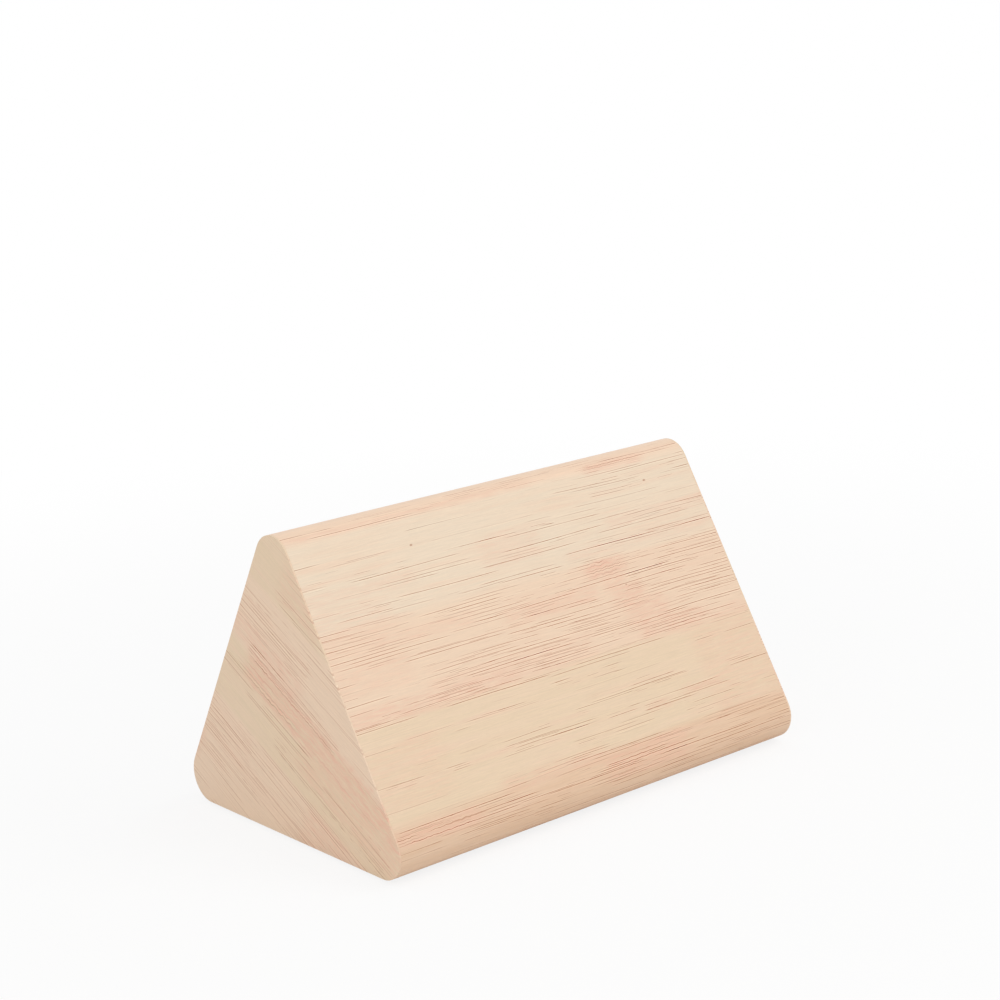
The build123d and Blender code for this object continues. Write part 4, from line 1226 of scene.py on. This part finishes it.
class BuildBay(bpy.types.Operator):
    """Fill the battery bay: cells in their sleeves, contacts and coil springs"""

    bl_idname = "desk_clock.bay"
    bl_label = "Battery bay"
    bl_options = {"REGISTER", "UNDO"}

    def execute(self, context):
        looks = context.scene.desk_clock_metal
        nickel = rubbed_metal("contact_nickel", looks.nickel, 0.24, scratch=0.05)
        belongs(softened("contact_plates", "contacts", nickel, width=0.08 * MM), ROOT,
                "contact_nickel", "contact_plates")
        materials = [cell_sleeve("cell_sleeve", looks.sleeve),
                     cell_sleeve("cell_band", looks.band),
                     rubbed_metal("cell_steel", looks.nickel, 0.22, scratch=0.06)]
        ink = cell_sleeve("cell_print", looks.ink)
        for number in "123":
            self.cell(looks, number, materials, ink)
        wire = rubbed_metal("spring_steel", looks.nickel, 0.2, scratch=0.05)
        # Each spring stands on an end of the bay and points to its middle.
        middle = sum(corner.x for corner in solids_of("battery_cell_2", "back")[0]) / 2
        places, facings = [], []
        for low, high in solids_of("contact_springs", "back"):
            size, centre = high - low, (low + high) / 2
            towards = copysign(1, middle - centre.x)
            places.append(at("back", centre.x - towards * size.x / 2, *centre.yz).translation)
            facings.append(way("back", towards, 0, 0))
        coils = grown(self.coil(), "coil_springs", places, facings, wire,
                      Radius=(size.y - looks.wire) / 2, Wire=looks.wire / 2,
                      Reach=size.x - looks.wire, Turns=looks.spring_turns)
        belongs(shade(coils, sharp=60.0), ROOT, "spring_steel", "contact_springs")
        return {"FINISHED"}

    def cell(self, looks, number, materials, ink):
        """One cell, turned up from its flat end: sleeve, coloured ring, crimps and a nub."""
        node = "battery_cell_" + number
        low, high = solids_of(node, "back")[0]
        centre, r = (low + high) / 2, (high.z - low.z) / 2
        into = FACES["back"].inverted()
        # The nub is at the end where the solid is narrow.
        spots = [into @ vertex.co for vertex in frame["nodes"][node].data.vertices]
        tip = [(p - centre).yz.length for p in spots if p.x > high.x - 0.01 * MM]
        nub_right = max(tip) < r / 2
        body = high.x - low.x - looks.nub
        crimp, soft, ledge, ring = 0.12 * MM, 0.5 * MM, 0.25 * MM, body * 0.80
        profile = [(0.0, 0.0), (r * 0.62, 0.0), (r * 0.7, crimp), (r - soft, crimp),
                   (r - soft * 0.3, crimp + soft * 0.2), (r, crimp + soft), (r, ring),
                   (r, body - soft), (r - soft * 0.3, body - soft * 0.2), (r - soft, body),
                   (r * 0.62, body), (r * 0.6, body - ledge), (looks.nub_radius, body - ledge),
                   (looks.nub_radius, body + looks.nub - ledge),
                   (looks.nub_radius - ledge, body + looks.nub), (0.0, body + looks.nub)]
        # By the order of the materials: steel, sleeve, ring and steel again.
        bands = [2] * 3 + [0] * 3 + [1] * 4 + [2] * 5
        place = (at("back", low.x if nub_right else high.x, *centre.yz)
                 @ Matrix.Rotation(radians(90 if nub_right else -90), 4, "Y"))
        belongs(turned("cell_" + number, profile, place, bands, materials), ROOT, "cell_sleeve",
                node)
        # The plus sign's two bars near the nub, and the minus sign near the flat end.
        size, width = looks.sign_size, looks.sign_width
        bars = [self.bar(place, r, body * along, *sides, ink) for along, sides in (
            (0.70, (size, width)), (0.70, (width, size)), (0.10, (width, size)))]
        belongs(joined("cell_marks_" + number, *bars), ROOT)

    def bar(self, place, radius, along, size, wide, ink):
        """A thin printed bar on a cell's sleeve, on the side that faces out of the bay."""
        facing = place.inverted().to_3x3() @ way("back", 0, 0, 1)
        middle, steps = atan2(facing.y, facing.x), 8
        inside, outside = radius - 0.02 * MM, radius + 0.03 * MM
        shell, rings = bmesh.new(), []
        for index in range(steps + 1):
            turn = middle + (index / steps - 0.5) * wide / radius
            rings.append([shell.verts.new((reach * cos(turn), reach * sin(turn),
                                           along + half * size))
                          for reach, half in ((inside, -0.5), (inside, 0.5), (outside, 0.5),
                                              (outside, -0.5))])
        for low, high in zip(rings, rings[1:]):
            for i in range(4):
                shell.faces.new((low[i], low[i - 1], high[i - 1], high[i]))
        shell.faces.new(rings[0])
        shell.faces.new(rings[-1][::-1])
        bmesh.ops.recalc_face_normals(shell, faces=shell.faces)
        shell.transform(place)
        return from_shell("print", shell, ink)

    def coil(self):
        """A round-wire coil that narrows towards its tip."""
        build = Growth("Coil Spring", "Radius", "Wire", "Reach", "Turns")
        radius, wire, reach, turns = build.given("Radius", "Wire", "Reach", "Turns")
        spiral = build.node("GeometryNodeCurveSpiral", values={
            "Resolution": 40, "Rotations": turns, "Start Radius": radius,
            "End Radius": radius * 0.72, "Height": reach})
        ring = build.node("GeometryNodeCurvePrimitiveCircle", {"mode": "RADIUS"}, {
            "Resolution": 12, "Radius": wire})
        coil = build.node("GeometryNodeCurveToMesh", values={
            "Curve": spiral, "Profile Curve": ring, "Fill Caps": True})
        return build.grow(build.raised(coil, wire))


class BuildBoards(bpy.types.Operator):
    """Dress the main board and the parts that stand on it"""

    bl_idname = "desk_clock.boards"
    bl_label = "Main board"
    bl_options = {"REGISTER", "UNDO"}

    def execute(self, context):
        looks = context.scene.desk_clock_boards
        nickel = context.scene.desk_clock_metal.nickel
        dress(solder_mask("main_board", looks.mask, lighter(looks.mask, 1.9, 0.01), seed=3.0),
              "main_pcb")
        plastic = moulded("black_part", looks.part, grain=0.3 * MM, roughness=0.5)
        can = rubbed_metal("metal_can", looks.can, 0.3)
        coin = rubbed_metal("coin_steel", nickel, 0.26)
        # Material slot, finish, rounding of the edges and the pieces by their nodes.
        for slot, material, width, pieces in (
                ("black_part", plastic, 0.22 * MM, {
                    "buzzer": "sounder", "capacitor": "capacitor_can",
                    "temperature_sensor": "sensor_body", "coin_cell_holder": "coin_ring"}),
                ("metal_can", can, 0.25 * MM, {
                    "crystal": "crystal_can", "microphone": "microphone_can"}),
                ("coin_steel", coin, 0.2 * MM, {"coin_cell": "coin"})):
            for node, name in pieces.items():
                belongs(softened(node, name, material, width, segments=3), ROOT, slot, node)
        tin, legs = rubbed_metal("pin_tin", nickel, 0.3), self.leg()
        for node, name, face in (("microcontroller", "clock_chip", "back"),
                                 ("display_driver", "driver_chip", "front")):
            belongs(softened(node, name, plastic, width=0.12 * MM), ROOT, "black_part", node)
            low, high = solids_of(node, face)[0]
            places, facings = [], []
            for index in range(looks.leg_count):
                x = low.x + (high.x - low.x) * (index + 0.5) / looks.leg_count
                for y, side in ((high.y, 1), (low.y, -1)):
                    places.append(at(face, x, y, high.z).translation)
                    facings.append(way(face, 0, side, 0))
            pins = grown(legs, name + "_pins", places, facings, tin, Length=looks.leg_reach,
                         Width=looks.leg_width, Thickness=looks.leg_thickness)
            belongs(shade(pins, sharp=30.0), ROOT)
        return {"FINISHED"}

    def leg(self):
        """A flat leg that leaves the chip's side along its facing, with a tenth of it inside."""
        build = Growth("Chip Leg", "Length", "Width", "Thickness")
        reach, width, thickness = build.given("Length", "Width", "Thickness")
        return build.grow(build.block(width, thickness, reach, reach * -0.1))


class BuildDisplay(bpy.types.Operator):
    """Dress the display: its board, light frame, film and light chips"""

    bl_idname = "desk_clock.display"
    bl_label = "Display"
    bl_options = {"REGISTER", "UNDO"}

    def execute(self, context):
        looks = context.scene.desk_clock_boards
        dress(solder_mask("display_board", looks.display_mask, lighter(looks.display_mask, 0.9),
                          seed=11.0), "display_pcb")
        white = milky("light_frame", looks.frame)
        belongs(softened("light_frame", "well_block", white, width=0.1 * MM, segments=1), ROOT,
                "light_frame", "light_frame")
        dress(milky("diffuser", looks.film), "diffuser_film")
        resin = milky("light_chip", looks.resin)
        belongs(softened("light_chips", "chip_set", resin, width=0.08 * MM), ROOT, "light_chip",
                "light_chips")
        return {"FINISHED"}


class BuildWires(bpy.types.Operator):
    """Dress the flat cable, its plugs and the two battery leads"""

    bl_idname = "desk_clock.wires"
    bl_label = "Cable and leads"
    bl_options = {"REGISTER", "UNDO"}

    def execute(self, context):
        looks = context.scene.desk_clock_boards
        dress(moulded("header_white", looks.header, grain=0.5 * MM, roughness=0.45),
              "cable_headers")
        dress(insulated("cable_grey", looks.cable), "ribbon_cable")
        dress(insulated("lead_black", looks.negative), "lead_negative")
        dress(insulated("lead_red", looks.positive), "lead_positive")
        return {"FINISHED"}


class BuildStage(bpy.types.Operator):
    """Set the pale floor, the soft lamps and the camera"""

    bl_idname = "desk_clock.stage"
    bl_label = "Stage"
    bl_options = {"REGISTER", "UNDO"}

    def execute(self, context):
        looks, scene = context.scene.desk_clock_stage, context.scene
        scene.view_settings.view_transform = "Standard"
        self.floor(looks)
        self.world(scene, looks)
        self.lamp("key_lamp", looks, looks.key, looks.key_tint, looks.key_place)
        self.lamp("fill_lamp", looks, looks.fill, looks.fill_tint, looks.fill_place)
        self.camera(scene, looks)
        return {"FINISHED"}

    def floor(self, looks):
        """A sheet that takes a faint shadow near the clock and glows white further off."""
        mesh = bpy.data.meshes.new("floor")
        mesh.from_pydata([(x * looks.floor_half, y * looks.floor_half, -looks.floor_drop)
                          for x, y in ((-1, -1), (1, -1), (1, 1), (-1, 1))], [], [(0, 1, 2, 3)])
        finish = Finish("floor_paper", Base_Color=looks.floor, Roughness=0.9,
                        Specular_IOR_Level=0.0)
        glow = finish.node("ShaderNodeEmission", values=[(1, 1, 1), 1.0])
        path = finish.node("ShaderNodeLightPath", output="Is Camera Ray")
        reach = finish.far(finish.place(1.0))
        fade = reach.step(looks.shadow_near, looks.shadow_far)
        finish.surface(path * (fade * looks.shadow + (1 - looks.shadow)),
                       Value(finish, finish.shader.outputs[0]), glow)
        new_object("floor", mesh, finish.material)

    def world(self, scene, looks):
        """Even light for the object, and plain white where the camera or a reflection looks."""
        world = scene.world = bpy.data.worlds.new("studio")
        world.use_nodes = True
        world.node_tree.nodes.remove(world.node_tree.nodes["Background"])
        nodes = Nodes(world.node_tree)
        plain, white = (nodes.node("ShaderNodeBackground", values=[(1, 1, 1), strength])
                        for strength in (looks.ambient, 1.0))
        rays = nodes.outputs(nodes.node("ShaderNodeLightPath"))
        seen = sum(ray for ray in rays if ray.socket.name in (
            "Is Camera Ray", "Is Glossy Ray", "Is Transmission Ray"))
        nodes.surface(seen.clamped(), plain, white)

    def lamp(self, name, looks, watts, tint, place):
        """A square area lamp aimed at the clock."""
        data = bpy.data.lights.new(name, "AREA")
        data.energy, data.size, data.color = watts, looks.lamp_size, tint
        made = new_object(name, data)
        made.location = place
        made.rotation_euler = (Vector(looks.aim) - Vector(place)).to_track_quat(
            "-Z", "Y").to_euler()

    def camera(self, scene, looks):
        """The camera as it stood for the photograph: turned, tilted and rolled."""
        data = bpy.data.cameras.new("camera")
        data.lens, data.sensor_width = looks.lens, 36.0
        data.clip_start, data.clip_end = 0.01, 20.0
        scene.camera = new_object("camera", data)
        scene.camera.matrix_world = (
            Matrix.Translation((0, 0, FOOT_HEIGHT)) @ Matrix.Rotation(looks.azimuth, 4, "Z")
            @ Matrix.Rotation(pi / 2 - looks.elevation, 4, "X")
            @ Matrix.Rotation(looks.roll, 4, "Z") @ Matrix.Translation(looks.stand))


class DeskClockPanel(bpy.types.Panel):
    """Lists the clock's pieces and their sizes and colours"""

    bl_idname = "VIEW3D_PT_desk_clock"
    bl_label = "Desk Clock"
    bl_space_type = "VIEW_3D"
    bl_region_type = "UI"
    bl_category = "Desk Clock"

    def draw(self, context):
        for operator, group in STEPS.items():
            box = self.layout.box()
            box.operator(operator.bl_idname)
            if group:
                settings = getattr(context.scene, group)
                for name in settings.__annotations__:
                    box.prop(settings, name)


GROUPS = {
    "desk_clock_veneer": ClockVeneer,
    "desk_clock_moulding": ClockMoulding,
    "desk_clock_metal": ClockMetal,
    "desk_clock_boards": ClockBoards,
    "desk_clock_stage": ClockStage,
}
# The operators in their order, each with the group that the panel lists under it.
STEPS = {
    BuildCase: "desk_clock_veneer",
    BuildBack: "desk_clock_moulding",
    BuildDoor: None,
    BuildButtons: None,
    BuildSocket: None,
    BuildScrews: "desk_clock_metal",
    BuildBay: None,
    BuildBoards: "desk_clock_boards",
    BuildDisplay: None,
    BuildWires: None,
    BuildStage: "desk_clock_stage",
}


def register():
    for name, group in GROUPS.items():
        bpy.utils.register_class(group)
        setattr(bpy.types.Scene, name, PointerProperty(type=group))
    for kind in (*STEPS, DeskClockPanel):
        bpy.utils.register_class(kind)


def unregister():
    for kind in (DeskClockPanel, *STEPS):
        bpy.utils.unregister_class(kind)
    for name, group in GROUPS.items():
        delattr(bpy.types.Scene, name)
        bpy.utils.unregister_class(group)


def main():
    register()
    for operator in STEPS:
        group, name = operator.bl_idname.split(".")
        getattr(getattr(bpy.ops, group), name)()
    bpy.context.view_layer.update()


if __name__ == "__main__":
    main()
